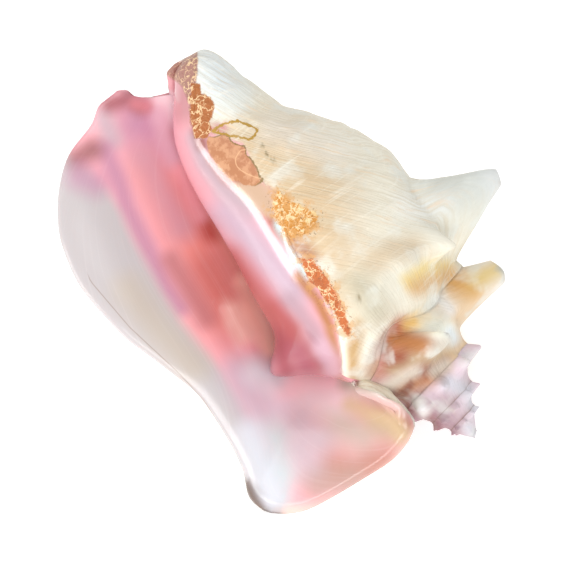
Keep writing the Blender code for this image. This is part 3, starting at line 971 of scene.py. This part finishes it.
# %% [markdown]
# ## Growth relief
#
# A shell's outside is never smooth. It swells and sinks with each season, fine ridges mark each week, and
# cords run round it. These heights are real geometry, so they also show in the outline. Each row is one
# family of swellings, from a seeded random lattice with smooth hills in between. The glaze buries them all.
# Inside the mouth one soft fold of the wall stands forward and catches the light, and is raised here too.

# %% Raise the relief
# Spacing along the growth, spacing across it, height, all in millimetres, and the seed
RELIEF = [(26, 70, 0.7, 1), (9, 34, 0.35, 2), (4.0, 16, 0.16, 3), (60, 11, 1.3, 4), (40, 4.5, 0.3, 5),
    (3.2, 3.2, 0.22, 6)]


def swell(x, y, seed):
    """Smooth random heights from -1 to 1, with hills about one unit apart."""
    lattice = np.random.default_rng(seed).uniform(-1, 1, (97, 97))
    column, row = np.floor(x).astype(int), np.floor(y).astype(int)
    u, v = smooth(x - column), smooth(y - row)
    near = lattice[column % 97, row % 97] * (1 - u) + lattice[(column + 1) % 97, row % 97] * u
    far = lattice[column % 97, (row + 1) % 97] * (1 - u) + lattice[(column + 1) % 97, (row + 1) % 97] * u
    return near * (1 - v) + far * v


# The fold's middle line on the front map, how far it reaches to each side and how high it stands
FOLD = [(24, 112.5), (27, 120), (30.5, 127)]
FOLD_REACH, FOLD_RISE = 11, 7
fold = (side_of > 0.9) * smooth(1 - beside(FOLD) / FOLD_REACH)
standing[:, 1] -= FOLD_RISE * MM * fold

height = 0
for along, across, tall, seed in RELIEF:
    height = height + tall * swell(age / along, from_suture[col, stn] / across, seed)
small = np.clip(plain_drop(lag_of) / plain_drop(300), 0.12, 1)
unglazed = outside * (1 - smooth(0.5 + glazed_mm / 6))
off_ends = smooth(from_suture[col, stn] / 3) * smooth((LAST - stn) / 14)
rough_mm = height * small * unglazed * off_ends
standing += rounded_normals(standing, faces) * (rough_mm * MM)[:, None]
print("relief, mm:", rough_mm.min().round(2), "to", rough_mm.max().round(2))

# %% [markdown]
# ## Paint the mouth
#
# Inside, the glaze is thickest and the pink is strongest, turning to salmon and red in the depth. Towards
# the lip's edge it thins to a pale, pearly margin.

# %% Mouth colours
mouth = (side_of > 0.1).astype(float)
dab(mouth, SHELL_PINK, 1.0)
# Salmon runs down the depth, with mauve on the side of the wing
stroke(mouth, SALMON, 0.9, 24, (-9, 51), (0, 71), (9, 94), (18, 114))
stroke(mouth, SALMON, 0.85, 9, (7, 58), (14, 76), (24, 92), (33, 110))
stroke(mouth, HEATHER, 0.9, 22, (-20, 30), (-9, 35))
stroke(mouth, MAUVE, 0.8, 9, (-37, 27), (-33, 37))
stroke(mouth, DAMSON, 0.8, 8, (-34, 21), (-26, 19), (-20, 22))
stroke(mouth, HEATHER, 0.8, 8, (-36, 42), (-30, 55), (-26, 68), (-20, 80), (-14, 92), (-9, 103), (-2, 113))
stroke(mouth, MILK_PINK, 0.8, 10, (-4, 28), (-6, 21), (-9, 18))
# The rear end of the mouth, dusky as painted shade where it curves away into the depth, and the ground of the
# lip's foot
patch(mouth, DUSKY, 0.9, 14, (35, 115), (43, 112), (57, 123), (65, 142), (48, 142), (36, 141))
# Painted light: a peach oval where a fold of the wall stands forward and catches the light
patch(mouth, BLUSH, 0.8, 8, (18, 110), (27, 110), (35, 121), (33, 129), (24, 129), (19, 121))
patch(mouth, LILAC, 0.9, 20, (23, 145), (52, 144), (52, 160), (39, 173), (30, 162))
patch(mouth, PUTTY, 0.9, 26, (57, 148), (75, 155), (91, 169), (84, 182), (61, 173))
stroke(mouth, KHAKI, 0.8, 12, (88, 164), (97, 170))
stroke(mouth, TERRACOTTA, 0.9, 14, (66, 185), (77, 188), (91, 182))
print("the mouth's ground is", SHELL_PINK)

# %% [markdown]
# ## The pearly wing, and red in the depth
#
# The wing carries its glaze thin, so it is ash grey with a soft edge along the depth. The middle of the
# depth then gets its reds, over the salmon.

# %% Wing and depth
patch(mouth, ASH, 0.95, 7, (-43, 52), (-35, 60), (-29, 70), (-23, 83), (-16, 95), (-9, 108), (-1, 121),
    (7, 131), (17, 142), (25, 155), (32, 168), (35, 176), (45, 187), (52, 214), (20, 214), (2, 164),
    (-43, 137), (-66, 87), (-61, 37))
stroke(mouth, THISTLE, 0.8, 14, (-17, 46), (-10, 61), (-2, 76))
stroke(mouth, BLOOD, 0.7, 9, (3, 58), (9, 69), (12, 79))
stroke(mouth, DUSKY, 0.8, 9, (-6, 35), (0, 46), (5, 58))
stroke(mouth, CORAL, 0.85, 8, (10, 60), (20, 78), (28, 94), (33, 108))
stroke(mouth, DUSKY, 0.85, 9, (-6, 92), (2, 105), (10, 118))
stroke(mouth, CLAY, 0.5, 14, (9, 96), (17, 111), (23, 125), (28, 134))
# Painted light: orchid pink that lifts the columella's shadow near the siphon notch
stroke(mouth, ORCHID, 0.85, 8, (-11, 27), (-9, 36), (-5, 46))
# More painted light, in apricot, along the same fold
stroke(mouth, APRICOT, 0.8, 7, (26, 102), (30, 110))
stroke(mouth, APRICOT, 0.95, 8, (32, 115), (36, 122), (39, 132))
stroke(mouth, ROSE, 0.85, 9, (30, 138), (35, 142))
print("the wing is", ASH)

# %% [markdown]
# ## The foot of the lip
#
# The rear of the lip, on which the shell rests, is broad and pearly, and warmer towards its rim. Its
# outermost corner is stained dark.

# %% Foot of the lip
stroke(mouth + outside, SOOT, 0.85, 9, (31, 198), (35, 202), (40, 206))
stroke(mouth, CHESTNUT, 0.8, 8, (99, 164), (101, 172))
# Painted light: a near-white pink under the pad, to lift the shadow that the pad casts
stroke(mouth, PETAL, 0.95, 12, (45, 147), (52, 148), (62, 148), (71, 148))
stroke(mouth, MILK_PINK, 0.8, 14, (57, 154), (70, 153))
stroke(mouth, WISTERIA, 0.85, 14, (24, 142), (29, 153), (35, 164))
stroke(mouth, SEA_GREY, 0.85, 16, (42, 173), (45, 187))
stroke(mouth, PEARL, 0.85, 12, (30, 170), (34, 179), (37, 189), (40, 199))
stroke(mouth, MAUVE, 0.8, 12, (52, 177), (58, 187))
stroke(mouth, BLUSH, 0.9, 7, (103, 172), (98, 183), (88, 192), (73, 200), (60, 205), (48, 206))
# Small corrections at the front corner, in the depth and on the wing's upper edge
stroke(mouth, ROSE, 0.8, 6, (-22, 21), (-18, 22))
stroke(mouth, SHELL_PINK, 0.8, 7, (-2, 51), (3, 63), (7, 71))
stroke(mouth, SMOKED_ROSE, 0.8, 10, (-48, 46), (-42, 42))
stroke(mouth, HEATHER, 0.7, 12, (-47, 54), (-40, 57))
# Last, the wing's warm middle, the foot's rear half and the outline of the dark corner
stroke(mouth, PUTTY, 0.8, 14, (-25, 105), (-11, 123), (4, 139))
stroke(mouth, MAUVE, 0.8, 14, (52, 166), (60, 173))
stroke(mouth, ROSY_BROWN, 0.8, 14, (61, 194), (75, 191))
stroke(mouth, PEARL, 0.8, 12, (33, 142), (41, 145))
stroke(mouth + outside, SOOT, 0.95, 4.5, (28, 193), (30, 199), (34, 204))
stroke(mouth, BUFF, 0.8, 7, (75, 157), (85, 161), (94, 164), (98, 170))
stroke(mouth, PUTTY, 0.9, 7.5, (74, 148), (81, 150), (89, 152), (96, 154), (100, 157))
print("painted vertices:", len(tint))

# %% [markdown]
# ## A growth mark beside the lip's edge
#
# A thin brown line runs a few millimetres inside the lip's pale edge, where growth once paused. It is kept as
# a distance too, zero on the line, with a strength that fades at its ends.

# %% Lip mark
MARK = [(-52, 78), (-42, 101.5), (-24.5, 122), (-3, 142), (9, 155), (20, 173.5), (27.5, 191.5),
    (30.5, 209.5), (61, 209.5), (61, 78)]
SHOWN = [(-41, 103.5), (-24.5, 122), (-3, 142), (9, 155), (20, 173.5), (27.5, 190.5)]
mark_here = smooth(1.8 - beside(SHOWN) / 4) * mouth
marks = np.stack([within(MARK), mark_here, spine], axis=1)
print("lip mark, vertices:", int((mark_here > 0.5).sum()))

# %% [markdown]
# ## Outlines of the crusts
#
# Sea life and rust left crusts along the callus. Their outlines are too crisp for soft brushes, so each
# vertex notes its distance to an outline, and the material draws the edge exactly where that is zero.

# %% Crust outlines
BLOTCH = [(10.5, 41), (10, 38), (11, 36), (14, 36.5), (17.5, 34.5), (20, 36), (21, 38.5), (23.5, 40),
    (27, 40.5), (28, 42), (27.5, 44.5), (30, 46.5), (32, 49), (33, 51.5), (34, 54.5), (36, 56), (32, 58.5),
    (27, 58), (24, 56), (21.5, 56.5), (17.5, 52.5), (14.5, 49), (12, 45)]
AMBER = [(40.5, 63.5), (42.5, 61), (45, 63.5), (47.5, 65.5), (53, 67.5), (60, 71), (60, 76), (56, 80),
    (51.5, 81.5), (47.5, 82.5), (45, 79), (41.5, 73.5), (39.5, 68)]
RUST = [(51.5, 90.5), (54, 91.5), (57.5, 91), (59.5, 93), (60.5, 95), (63.5, 99.5), (67, 104.5), (69, 110),
    (71, 114.5), (73.5, 120.5), (74.5, 124.5), (71.5, 124), (68.5, 118.5), (65.5, 112.5), (61, 106.5),
    (57, 101.5), (53.5, 96)]
LOOP = [(12, 34), (17, 30.5), (24, 29), (29.5, 31.5), (33, 33), (31.5, 36.5), (28.5, 37.5), (22.5, 36)]
SIPHON = [(-13.5, -3.5), (5.5, -4.5), (6, 2), (5.5, 12), (5, 21.5), (6, 33.5), (3, 32), (2, 21.5),
    (-1, 13.5), (-6, 9), (-13.5, 5.5)]
ORANGE = [(3, 12), (7, 12), (8, 17), (12.5, 19), (14, 23.5), (11.5, 29), (12.5, 33.5), (9.5, 37.5),
    (4.5, 36.5), (2.5, 28), (2.5, 19)]
in_front = (facing > 0.02) & (side_of < 0.5) & on_body


def crust(*outline):
    return np.where(in_front, within(list(outline)), -30)


crusts_1 = np.stack([glazed_mm, crust(*BLOTCH), crust(*RUST)], axis=1)
crusts_2 = np.stack([crust(*AMBER), crust(*LOOP), crust(*SIPHON)], axis=1)

# The rims show only on these stretches, and one pale hook is drawn inside the blotch.
RIM = [(17, 35.5), (21, 38.5), (23.5, 40), (27, 40.5), (28, 42), (28, 44.5), (31.5, 47.5), (33.5, 51.5),
    (35, 55)]
TOP = [(13, 32.5), (17, 30.5), (24, 29), (29.5, 31.5), (33, 33), (30.5, 36.5), (27, 38.5)]
HOOK = [(25.5, 42.5), (24, 44.5), (23, 46.5), (23.5, 49.5), (25.5, 51.5), (28, 53), (31.5, 54.5),
    (35, 55.5), (35, 41.5)]
rim_here = np.maximum(smooth(1.6 - beside(RIM) / 4), smooth(1.6 - beside(TOP) / 3))
crusts_3 = np.stack([crust(*ORANGE), rim_here, crust(*HOOK)], axis=1)
print("crust outlines: blotch, rust, amber, loop, siphon, orange and the pale hook")

# %% [markdown]
# ## Make the object and lay it down
#
# The shell was wound standing on its siphon. On a table it rolls onto the rear corner of its lip and two
# spines, and those points are worn flat. The same turn, the same wear and the same centring as the plain
# solid put the fine skin exactly where the frame has it.

# %% Build the mesh and lay it down
REST_UP = (-0.35309, 0.71285, -0.60595)
WORN_OFF = 0.7 * MM


def lay_down(shell):
    """Turns the shell to how it rests, wears its lowest points flat, and stands it on z = 0."""
    up = Vector((REST_UP[0], -REST_UP[1], REST_UP[2])).normalized()
    viewer = Vector((0, -1, 0))
    ahead = (viewer - viewer.dot(up) * up).normalized()
    side = (-ahead).cross(up)
    turn = Matrix((side, -ahead, up)).to_4x4()
    shell.data.transform(turn)
    body = bmesh.new()
    body.from_mesh(shell.data)
    low = min(v.co.z for v in body.verts) + WORN_OFF
    everything = body.verts[:] + body.edges[:] + body.faces[:]
    bmesh.ops.bisect_plane(body, geom=everything, plane_co=(0, 0, low), plane_no=(0, 0, -1), clear_outer=True)
    bmesh.ops.holes_fill(body, edges=[e for e in body.edges if e.is_boundary])
    body.to_mesh(shell.data)
    body.free()
    spots = np.array([v.co for v in shell.data.vertices])
    middle = (spots.min(0) + spots.max(0)) / 2
    shift = Vector((-middle[0], -middle[1], -low))
    shell.data.transform(Matrix.Translation(shift))
    return turn, shift


mesh = bpy.data.meshes.new("shell_skin")
mesh.from_pydata(standing.tolist(), [], faces)


def note(name, kind, values):
    """Writes one value per vertex onto the mesh."""
    attribute = mesh.attributes.new(name, kind, "POINT")
    field = {"FLOAT": "value", "FLOAT_VECTOR": "vector", "FLOAT_COLOR": "color"}[kind]
    attribute.data.foreach_set(field, np.ascontiguousarray(values, np.float32).ravel())


note("ruler", "FLOAT_VECTOR", ruler)
note("coil", "FLOAT_VECTOR", standing / MM)
note("tint", "FLOAT_COLOR", np.c_[np.clip(tint, 0, 1), np.ones(len(tint))])
note("crusts_1", "FLOAT_VECTOR", crusts_1)
note("crusts_2", "FLOAT_VECTOR", crusts_2)
note("crusts_3", "FLOAT_VECTOR", crusts_3)
note("marks", "FLOAT_VECTOR", marks)
shell = bpy.data.objects.new("shell_skin", mesh)
bpy.context.scene.collection.objects.link(shell)
turn, shift = lay_down(shell)
shell.data.shade_smooth()
print("skin measures", [round(v / MM, 1) for v in shell.dimensions], "mm")

# %% [markdown]
# ## Camera
#
# The photograph looks straight into the mouth, along c, from far enough away that nothing looks stretched.
# A long lens three metres off gives the same flat view. The camera's up direction is tilted to the axis by
# the angle that the picture shows.

# %% Aim the camera
CAMERA_DISTANCE = 3.0
VIEW_WIDTH = 258.1 * MM
AIM = (26.5 * MM, 0, 109.1 * MM)


def in_world(b, c, a):
    """A place given from the axis, in the frame's own directions."""
    return turn @ Vector((b, -c, a)) + shift


right = turn.to_3x3() @ Vector((-TURN_COS, 0, TURN_SIN))
back = turn.to_3x3() @ Vector((0, -1, 0))
upward = back.cross(right)
lens = bpy.data.cameras.new("long lens")
lens.sensor_width = 36
lens.lens = 36 * CAMERA_DISTANCE / VIEW_WIDTH
lens.clip_end = 50
camera = bpy.data.objects.new("camera", lens)
aim = Matrix((right, upward, back)).transposed().to_4x4()
camera.matrix_world = Matrix.Translation(in_world(*AIM) + back * CAMERA_DISTANCE) @ aim
bpy.context.scene.collection.objects.link(camera)
bpy.context.scene.camera = camera
bpy.context.scene.view_settings.view_transform = "Standard"
print("camera looks down by", round(math.degrees(math.asin(back.z)), 1), "degrees")

# %% [markdown]
# ## A helper for node trees
#
# Materials are node trees. One small function adds a node to the tree in hand, sets its own settings, fills
# its sockets with numbers or with the outputs of other nodes, and gives back one of its outputs, so each line
# below reads as one step of the finish. The few settings that come up again and again have short names.

# %% One node at a time
def add_node(kind, settings={}, sockets={}, output=0):
    """Adds one node to the tree. Settings are its own properties, sockets are numbers or other outputs."""
    node = tree.nodes.new("ShaderNode" + kind)
    for name, value in settings.items():
        setattr(node, name, value)
    for name, value in sockets.items():
        if isinstance(value, bpy.types.NodeSocket):
            tree.links.new(value, node.inputs[name])
        else:
            node.inputs[name].default_value = value
    return node.outputs[output]


def hex4(code):
    return (*linear(code), 1)


TIMES = {"operation": "MULTIPLY"}
PLUS = {"operation": "ADD"}
LESS = {"operation": "SUBTRACT"}
MOST = {"operation": "MAXIMUM"}
SIZE_OF = {"operation": "ABSOLUTE"}
EASED = {"interpolation_type": "SMOOTHSTEP"}
COLOURS = {"data_type": "RGBA"}
print("a node socket takes", len(hex4("#ECE9DA")), "numbers for a colour")

# %% [markdown]
# ## The chalky outside, with its callus
#
# The outside is aragonite, the mineral of most sea shells, laid down in layers and left matt by the sea. It
# scatters light like chalk, so its roughness is high, with the IOR of aragonite, about 1.53. Growth lines run
# from suture to siphon, and faint cords run round. Where the callus covers it, the same mineral is smooth as
# porcelain.
#
# First come the notes and the small patterns. Each pattern's scale is one over a real size in millimetres.

# %% Chalk: notes and patterns
chalk = bpy.data.materials.new("aragonite chalk with callus")
chalk.use_nodes = True
tree = chalk.node_tree
surface = tree.nodes["Principled BSDF"]
tint_note = add_node("Attribute", {"attribute_name": "tint"})
ruler_note = add_node("Attribute", {"attribute_name": "ruler"}, {}, "Vector")
coil_note = add_node("Attribute", {"attribute_name": "coil"}, {}, "Vector")
crusts_a = add_node("Attribute", {"attribute_name": "crusts_1"}, {}, "Vector")
crusts_b = add_node("Attribute", {"attribute_name": "crusts_2"}, {}, "Vector")
crusts_c = add_node("Attribute", {"attribute_name": "crusts_3"}, {}, "Vector")

# Growth lines 1.3 mm apart and 18 mm long, streaks of peach 2.5 mm wide, cords 2.2 mm apart
lines_at = add_node("Mapping", {}, {0: ruler_note, "Scale": (1 / 1.3, 1 / 18, 1)})
lines = add_node("TexNoise", {}, {"Vector": lines_at, "Scale": 1.0, "Detail": 3.0})
streaks_at = add_node("Mapping", {}, {0: ruler_note, "Location": (7, 3, 0), "Scale": (1 / 2.5, 1 / 14, 1)})
streaks = add_node("TexNoise", {}, {"Vector": streaks_at, "Scale": 1.0, "Detail": 4.0, "Roughness": 0.65})
cords_at = add_node("Mapping", {}, {0: ruler_note, "Scale": (1 / 26, 1 / 2.2, 1)})
cords = add_node("TexNoise", {}, {"Vector": cords_at, "Scale": 1.0, "Detail": 3.0})
ragged = add_node("TexNoise", {}, {"Vector": coil_note, "Scale": 1 / 2.2, "Detail": 5.0, "Roughness": 0.7})
cloud = add_node("TexNoise", {}, {"Vector": coil_note, "Scale": 1 / 16, "Detail": 3.0})
patches = add_node("TexNoise", {}, {"Vector": coil_note, "Scale": 1 / 5, "Detail": 5.0, "Roughness": 0.65})
grit = add_node("TexNoise", {}, {"Vector": coil_note, "Scale": 1 / 0.8, "Detail": 2.0})

# Cracks: cells of about 4 mm whose walls wander, because their places are pushed about by a colour noise.
# A coarser noise opens some cracks and closes others.
push = add_node("TexNoise", {}, {"Vector": coil_note, "Scale": 1 / 2.6, "Detail": 3.0}, "Color")
push = add_node("VectorMath", {"operation": "SCALE"}, {0: push, "Scale": 7.0})
pushed = add_node("VectorMath", {"operation": "ADD"}, {0: coil_note, 1: push})
cell_walls = {"feature": "DISTANCE_TO_EDGE"}
cracks = add_node("TexVoronoi", cell_walls, {"Vector": pushed, "Scale": 1 / 4.0, "Randomness": 1.0})
closing = add_node("TexNoise", {}, {"Vector": coil_note, "Scale": 1 / 5, "Detail": 2.0})
closing = add_node("MapRange", {}, {"Value": closing, "From Min": 0.45, "From Max": 0.7, "To Max": 0.08})
cracks = add_node("Math", PLUS, {0: cracks, 1: closing})
print("patterns made, nodes so far:", len(tree.nodes))

# %% [markdown]
# ## Crust edges
#
# Each crust's outline is a distance note that is zero on the edge. A little noise added to the distance makes
# the edge ragged, and a steep ease turns it into inside or outside, crisp at any zoom.

# %% Chalk: crust edges
wobble = add_node("Math", LESS, {0: ragged, 1: 0.5})
outlines = {}
CRUST_NOTES = [(crusts_a, "glaze blotch rust"), (crusts_b, "amber loop siphon"), (crusts_c, "orange")]
for note_vector, names in CRUST_NOTES:
    for axis, name in enumerate(names.split()):
        outlines[name] = add_node("SeparateXYZ", {}, {0: note_vector}, axis)
rim_here = add_node("SeparateXYZ", {}, {0: crusts_c}, 1)
hook = add_node("SeparateXYZ", {}, {0: crusts_c}, 2)

# Raggedness in millimetres, and how wide the edge is on either side
EDGES = {
    "glaze": (2.0, 0.5),
    "blotch": (2.6, 0.3),
    "rust": (5.5, 0.5),
    "amber": (6.0, 0.8),
    "loop": (3.4, 0.3),
    "siphon": (2.4, 0.6),
    "orange": (3.0, 0.4),
}
distance, inside = {}, {}
for name, (mess, half) in EDGES.items():
    shift_by = add_node("Math", TIMES, {0: wobble, 1: mess})
    distance[name] = add_node("Math", PLUS, {0: outlines[name], 1: shift_by})
    span = {"Value": distance[name], "From Min": -half, "From Max": half}
    inside[name] = add_node("MapRange", EASED, span)
bare = add_node("Math", LESS, {0: 1.0, 1: inside["glaze"]})
years = add_node("SeparateXYZ", {}, {0: ruler_note}, 0)
young = {"Value": years, "From Min": 210.0, "From Max": 290.0, "To Min": 1.0, "To Max": 0.15}
young = add_node("Math", TIMES, {0: add_node("MapRange", EASED, young), 1: bare})
spine_note = add_node("Attribute", {"attribute_name": "marks"}, {}, "Vector")
up_spine = add_node("SeparateXYZ", {}, {0: spine_note}, 2)
off_spines = {"Value": up_spine, "From Min": 0.05, "From Max": 0.45, "To Min": 1.0, "To Max": 0.25}
young = add_node("Math", TIMES, {0: young, 1: add_node("MapRange", EASED, off_spines)})
crusted = inside["rust"]
for name in ("siphon", "orange", "amber"):
    crusted = add_node("Math", MOST, {0: crusted, 1: inside[name]})
print("crust edges:", len(EDGES))

# %% [markdown]
# ## Coats of colour
#
# Like paint, the colour goes on in coats: each coat is a mask, a strength and a colour. The first three are
# the bare chalk's own growth lines, peach streaks and cold patches. Then come the crusts, and last the fine
# lines: cracks, an olive brown rim, the gold loop, dark grit and the shadow line in the suture.

# %% Chalk: coats
colour = tint_note


def masked(pattern, low, high, strength, where):
    """How thick a coat is: a pattern eased from low to high, times a strength, only where a mask allows."""
    span = {"Value": pattern, "From Min": low, "From Max": high, "To Min": 0.0, "To Max": strength}
    return add_node("Math", TIMES, {0: add_node("MapRange", EASED, span), 1: where})


along = add_node("SeparateXYZ", {}, {0: ruler_note}, 1)
rims = {name: add_node("Math", SIZE_OF, {0: distance[name]}) for name in ("blotch", "loop")}
hook_line = add_node("Math", SIZE_OF, {0: hook})
near = add_node("Math", MOST, {0: distance["rust"], 1: distance["amber"]})
near = add_node("MapRange", EASED, {"Value": near, "From Min": -6.0, "From Max": 0.0})
COATS = [
    (masked(lines, 0.60, 0.35, 0.5, young), "#D6CBB2"),
    (masked(streaks, 0.52, 0.72, 0.55, young), "#EBCBA4"),
    (masked(cords, 0.55, 0.7, 0.35, young), "#F6F3E6"),
    (masked(cloud, 0.5, 0.68, 0.5, bare), "#E4E8E2"),
    (masked(inside["blotch"], 0, 1, 0.95, 1.0), "#B87F5A"),
    (masked(patches, 0.46, 0.62, 0.6, inside["blotch"]), "#DDAA84"),
    (masked(inside["amber"], 0, 1, 0.6, 1.0), "#E9C27A"),
    (masked(patches, 0.40, 0.48, 0.95, inside["amber"]), "#C98018"),
    (masked(patches, 0.48, 0.55, 0.7, near), "#D09A5A"),
    (inside["rust"], "#C4692F"),
    (masked(patches, 0.52, 0.6, 0.5, inside["rust"]), "#A85426"),
    (inside["siphon"], "#A97A6E"),
    (inside["orange"], "#AC6530"),
    (masked(cracks, 0.10, 0.03, 0.9, crusted), "#F4D3A4"),
    (masked(rims["blotch"], 0.5, 0.15, 0.9, rim_here), "#86703F"),
    (masked(rims["loop"], 0.75, 0.3, 1.0, rim_here), "#B08830"),
    (masked(hook_line, 0.4, 0.05, 0.6, inside["blotch"]), "#EDBE94"),
    (masked(grit, 0.64, 0.68, 0.8, near), "#7A5230"),
    (masked(along, 0.7, 0.2, 0.8, bare), "#7C5F4A"),
]
for mask, code in COATS:
    colour = add_node("Mix", COLOURS, {0: mask, 6: colour, 7: hex4(code)}, 2)
tree.links.new(colour, surface.inputs["Base Color"])
print("coats of colour:", len(COATS))

# %% [markdown]
# ## Gloss and grain
#
# Chalk has a roughness near 0.6 and the callus near 0.13. The crusts sit between. Bump carries only the grain
# that is too fine for the mesh: growth lines, cord crests and the crusts' crackle.

# %% Chalk: gloss and grain
CHALK_ROUGH, GLAZE_ROUGH, CRUST_ROUGH = 0.6, 0.13, 0.45
rough = {"Value": inside["glaze"], "To Min": CHALK_ROUGH, "To Max": GLAZE_ROUGH}
rough = add_node("MapRange", {}, rough)
crust_rough = add_node("Math", TIMES, {0: crusted, 1: CRUST_ROUGH})
tree.links.new(add_node("Math", MOST, {0: rough, 1: crust_rough}), surface.inputs["Roughness"])
grain = add_node("Math", PLUS, {0: lines, 1: cords})
grain = add_node("Math", PLUS, {0: grain, 1: streaks})
grain = add_node("Math", TIMES, {0: grain, 1: bare})
crackle = add_node("Math", PLUS, {0: ragged, 1: add_node("Math", TIMES, {0: cracks, 1: -2.0})})
crackle = add_node("Math", TIMES, {0: crackle, 1: crusted})
grain = add_node("Math", PLUS, {0: grain, 1: crackle})
bump = add_node("Bump", {}, {"Height": grain, "Strength": 0.6, "Distance": 0.7 * MM})
tree.links.new(bump, surface.inputs["Normal"])
surface.inputs["IOR"].default_value = 1.53
print("nodes in the outside's finish:", len(tree.nodes))

# %% [markdown]
# ## The porcelain mouth
#
# The inner lip is the same mineral laid down so finely that it shines like porcelain. Light goes a little way
# in and comes back pink, and thin growth lines run beside the edge. The lip is so thin that light from the
# table below comes through it. A little emission in the glaze's own colour stands for that.

# %% Mouth glaze
porcelain = bpy.data.materials.new("pink porcelain glaze")
porcelain.use_nodes = True
tree = porcelain.node_tree
surface = tree.nodes["Principled BSDF"]
tint_note = add_node("Attribute", {"attribute_name": "tint"})
ruler_note = add_node("Attribute", {"attribute_name": "ruler"}, {}, "Vector")
lines_at = add_node("Mapping", {}, {0: ruler_note, "Scale": (1 / 2.2, 1 / 40, 1)})
lines = add_node("TexNoise", {}, {"Vector": lines_at, "Scale": 1.0, "Detail": 3.0})
faint = add_node("MapRange", EASED, {"Value": lines, "From Min": 0.5, "From Max": 0.75, "To Max": 0.05})
colour = add_node("Mix", COLOURS, {0: faint, 6: tint_note, 7: hex4("#F6EEF0")}, 2)
mark_note = add_node("Attribute", {"attribute_name": "marks"}, {}, "Vector")
mark_line = add_node("Math", SIZE_OF, {0: add_node("SeparateXYZ", {}, {0: mark_note}, 0)})
mark_here = add_node("SeparateXYZ", {}, {0: mark_note}, 1)
mark = masked(mark_line, 0.35, 0.1, 0.55, mark_here)
colour = add_node("Mix", COLOURS, {0: mark, 6: colour, 7: hex4("#8A7466")}, 2)
tree.links.new(colour, surface.inputs["Base Color"])
tree.links.new(colour, surface.inputs["Emission Color"])
surface.inputs["Emission Strength"].default_value = 0.22
surface.inputs["Roughness"].default_value = 0.2
surface.inputs["IOR"].default_value = 1.53
surface.inputs["Subsurface Weight"].default_value = 0.15
surface.inputs["Subsurface Radius"].default_value = (0.004, 0.002, 0.0015)
surface.inputs["Subsurface Scale"].default_value = 1.0
bump = add_node("Bump", {}, {"Height": lines, "Strength": 0.1, "Distance": 0.2 * MM})
tree.links.new(bump, surface.inputs["Normal"])
shell.data.materials.append(chalk)
shell.data.materials.append(porcelain)
print("nodes in the mouth's finish:", len(tree.nodes))

# %% [markdown]
# ## Which faces take which finish
#
# The mouth's wall and the rounded edge are porcelain, the rest is chalk with its callus.

# %% Share out the finishes
ruler_values = np.zeros(len(shell.data.vertices) * 3, np.float32)
shell.data.attributes["ruler"].data.foreach_get("vector", ruler_values)
is_wall = ruler_values.reshape(-1, 3)[:, 2] > 1
corners = [list(p.vertices) for p in shell.data.polygons]
shell.data.polygons.foreach_set("material_index", [int(is_wall[c].all()) for c in corners])
print("porcelain faces:", sum(p.material_index for p in shell.data.polygons))

# %% [markdown]
# ## Studio
#
# White paper lit from below as well as above, as on a light table, so that shadows stay faint. An even white
# surround, a large soft light overhead, a lower one in front that reaches into the mouth, and a long low
# window at the left. The callus mirrors that window as one bright streak, and the window is rolled so that
# the streak runs along the callus.

# %% Floor and lights
floor_mesh = bpy.data.meshes.new("floor")
floor_mesh.from_pydata([(-9, -9, 0), (9, -9, 0), (9, 9, 0), (-9, 9, 0)], [], [(0, 1, 2, 3)])
floor = bpy.data.objects.new("floor", floor_mesh)
bpy.context.scene.collection.objects.link(floor)
paper = bpy.data.materials.new("white paper on a light table")
paper.use_nodes = True
paper_surface = paper.node_tree.nodes["Principled BSDF"]
paper_surface.inputs["Base Color"].default_value = (0.92, 0.92, 0.92, 1)
paper_surface.inputs["Roughness"].default_value = 0.9
paper_surface.inputs["Emission Color"].default_value = (1, 1, 1, 1)
paper_surface.inputs["Emission Strength"].default_value = 0.38
floor_mesh.materials.append(paper)


def soft_box(name, spot, size, glow, roll=0):
    """A rectangular light that points at the shell. Glow is how bright its face is, whatever its size."""
    lamp = bpy.data.lights.new(name, "AREA")
    lamp.shape = "RECTANGLE"
    lamp.size, lamp.size_y = size
    lamp.energy = glow * math.pi * size[0] * size[1]
    holder = bpy.data.objects.new(name, lamp)
    holder.location = spot
    holder.rotation_mode = "QUATERNION"
    facing_shell = (Vector(spot) - Vector((0, 0, 0.09))).to_track_quat("Z", "Y")
    holder.rotation_quaternion = facing_shell @ Quaternion((0, 0, 1), math.radians(roll))
    bpy.context.scene.collection.objects.link(holder)


soft_box("overhead", (0.1, 0.25, 1.3), (1.2, 1.2), 1.4)
soft_box("low front", (-0.1, -1.4, 0.66), (0.9, 0.6), 5.5)
soft_box("window", (-1.14, -0.49, 0.42), (0.68, 0.25), 12, roll=-22)
world = bpy.data.worlds.new("studio")
world.use_nodes = True
world.node_tree.nodes["Background"].inputs["Color"].default_value = (1, 1, 1, 1)
world.node_tree.nodes["Background"].inputs["Strength"].default_value = 0.58
bpy.context.scene.world = world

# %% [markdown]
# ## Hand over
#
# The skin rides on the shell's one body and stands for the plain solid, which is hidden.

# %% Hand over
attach(shell, "root")
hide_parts("conch_shell")
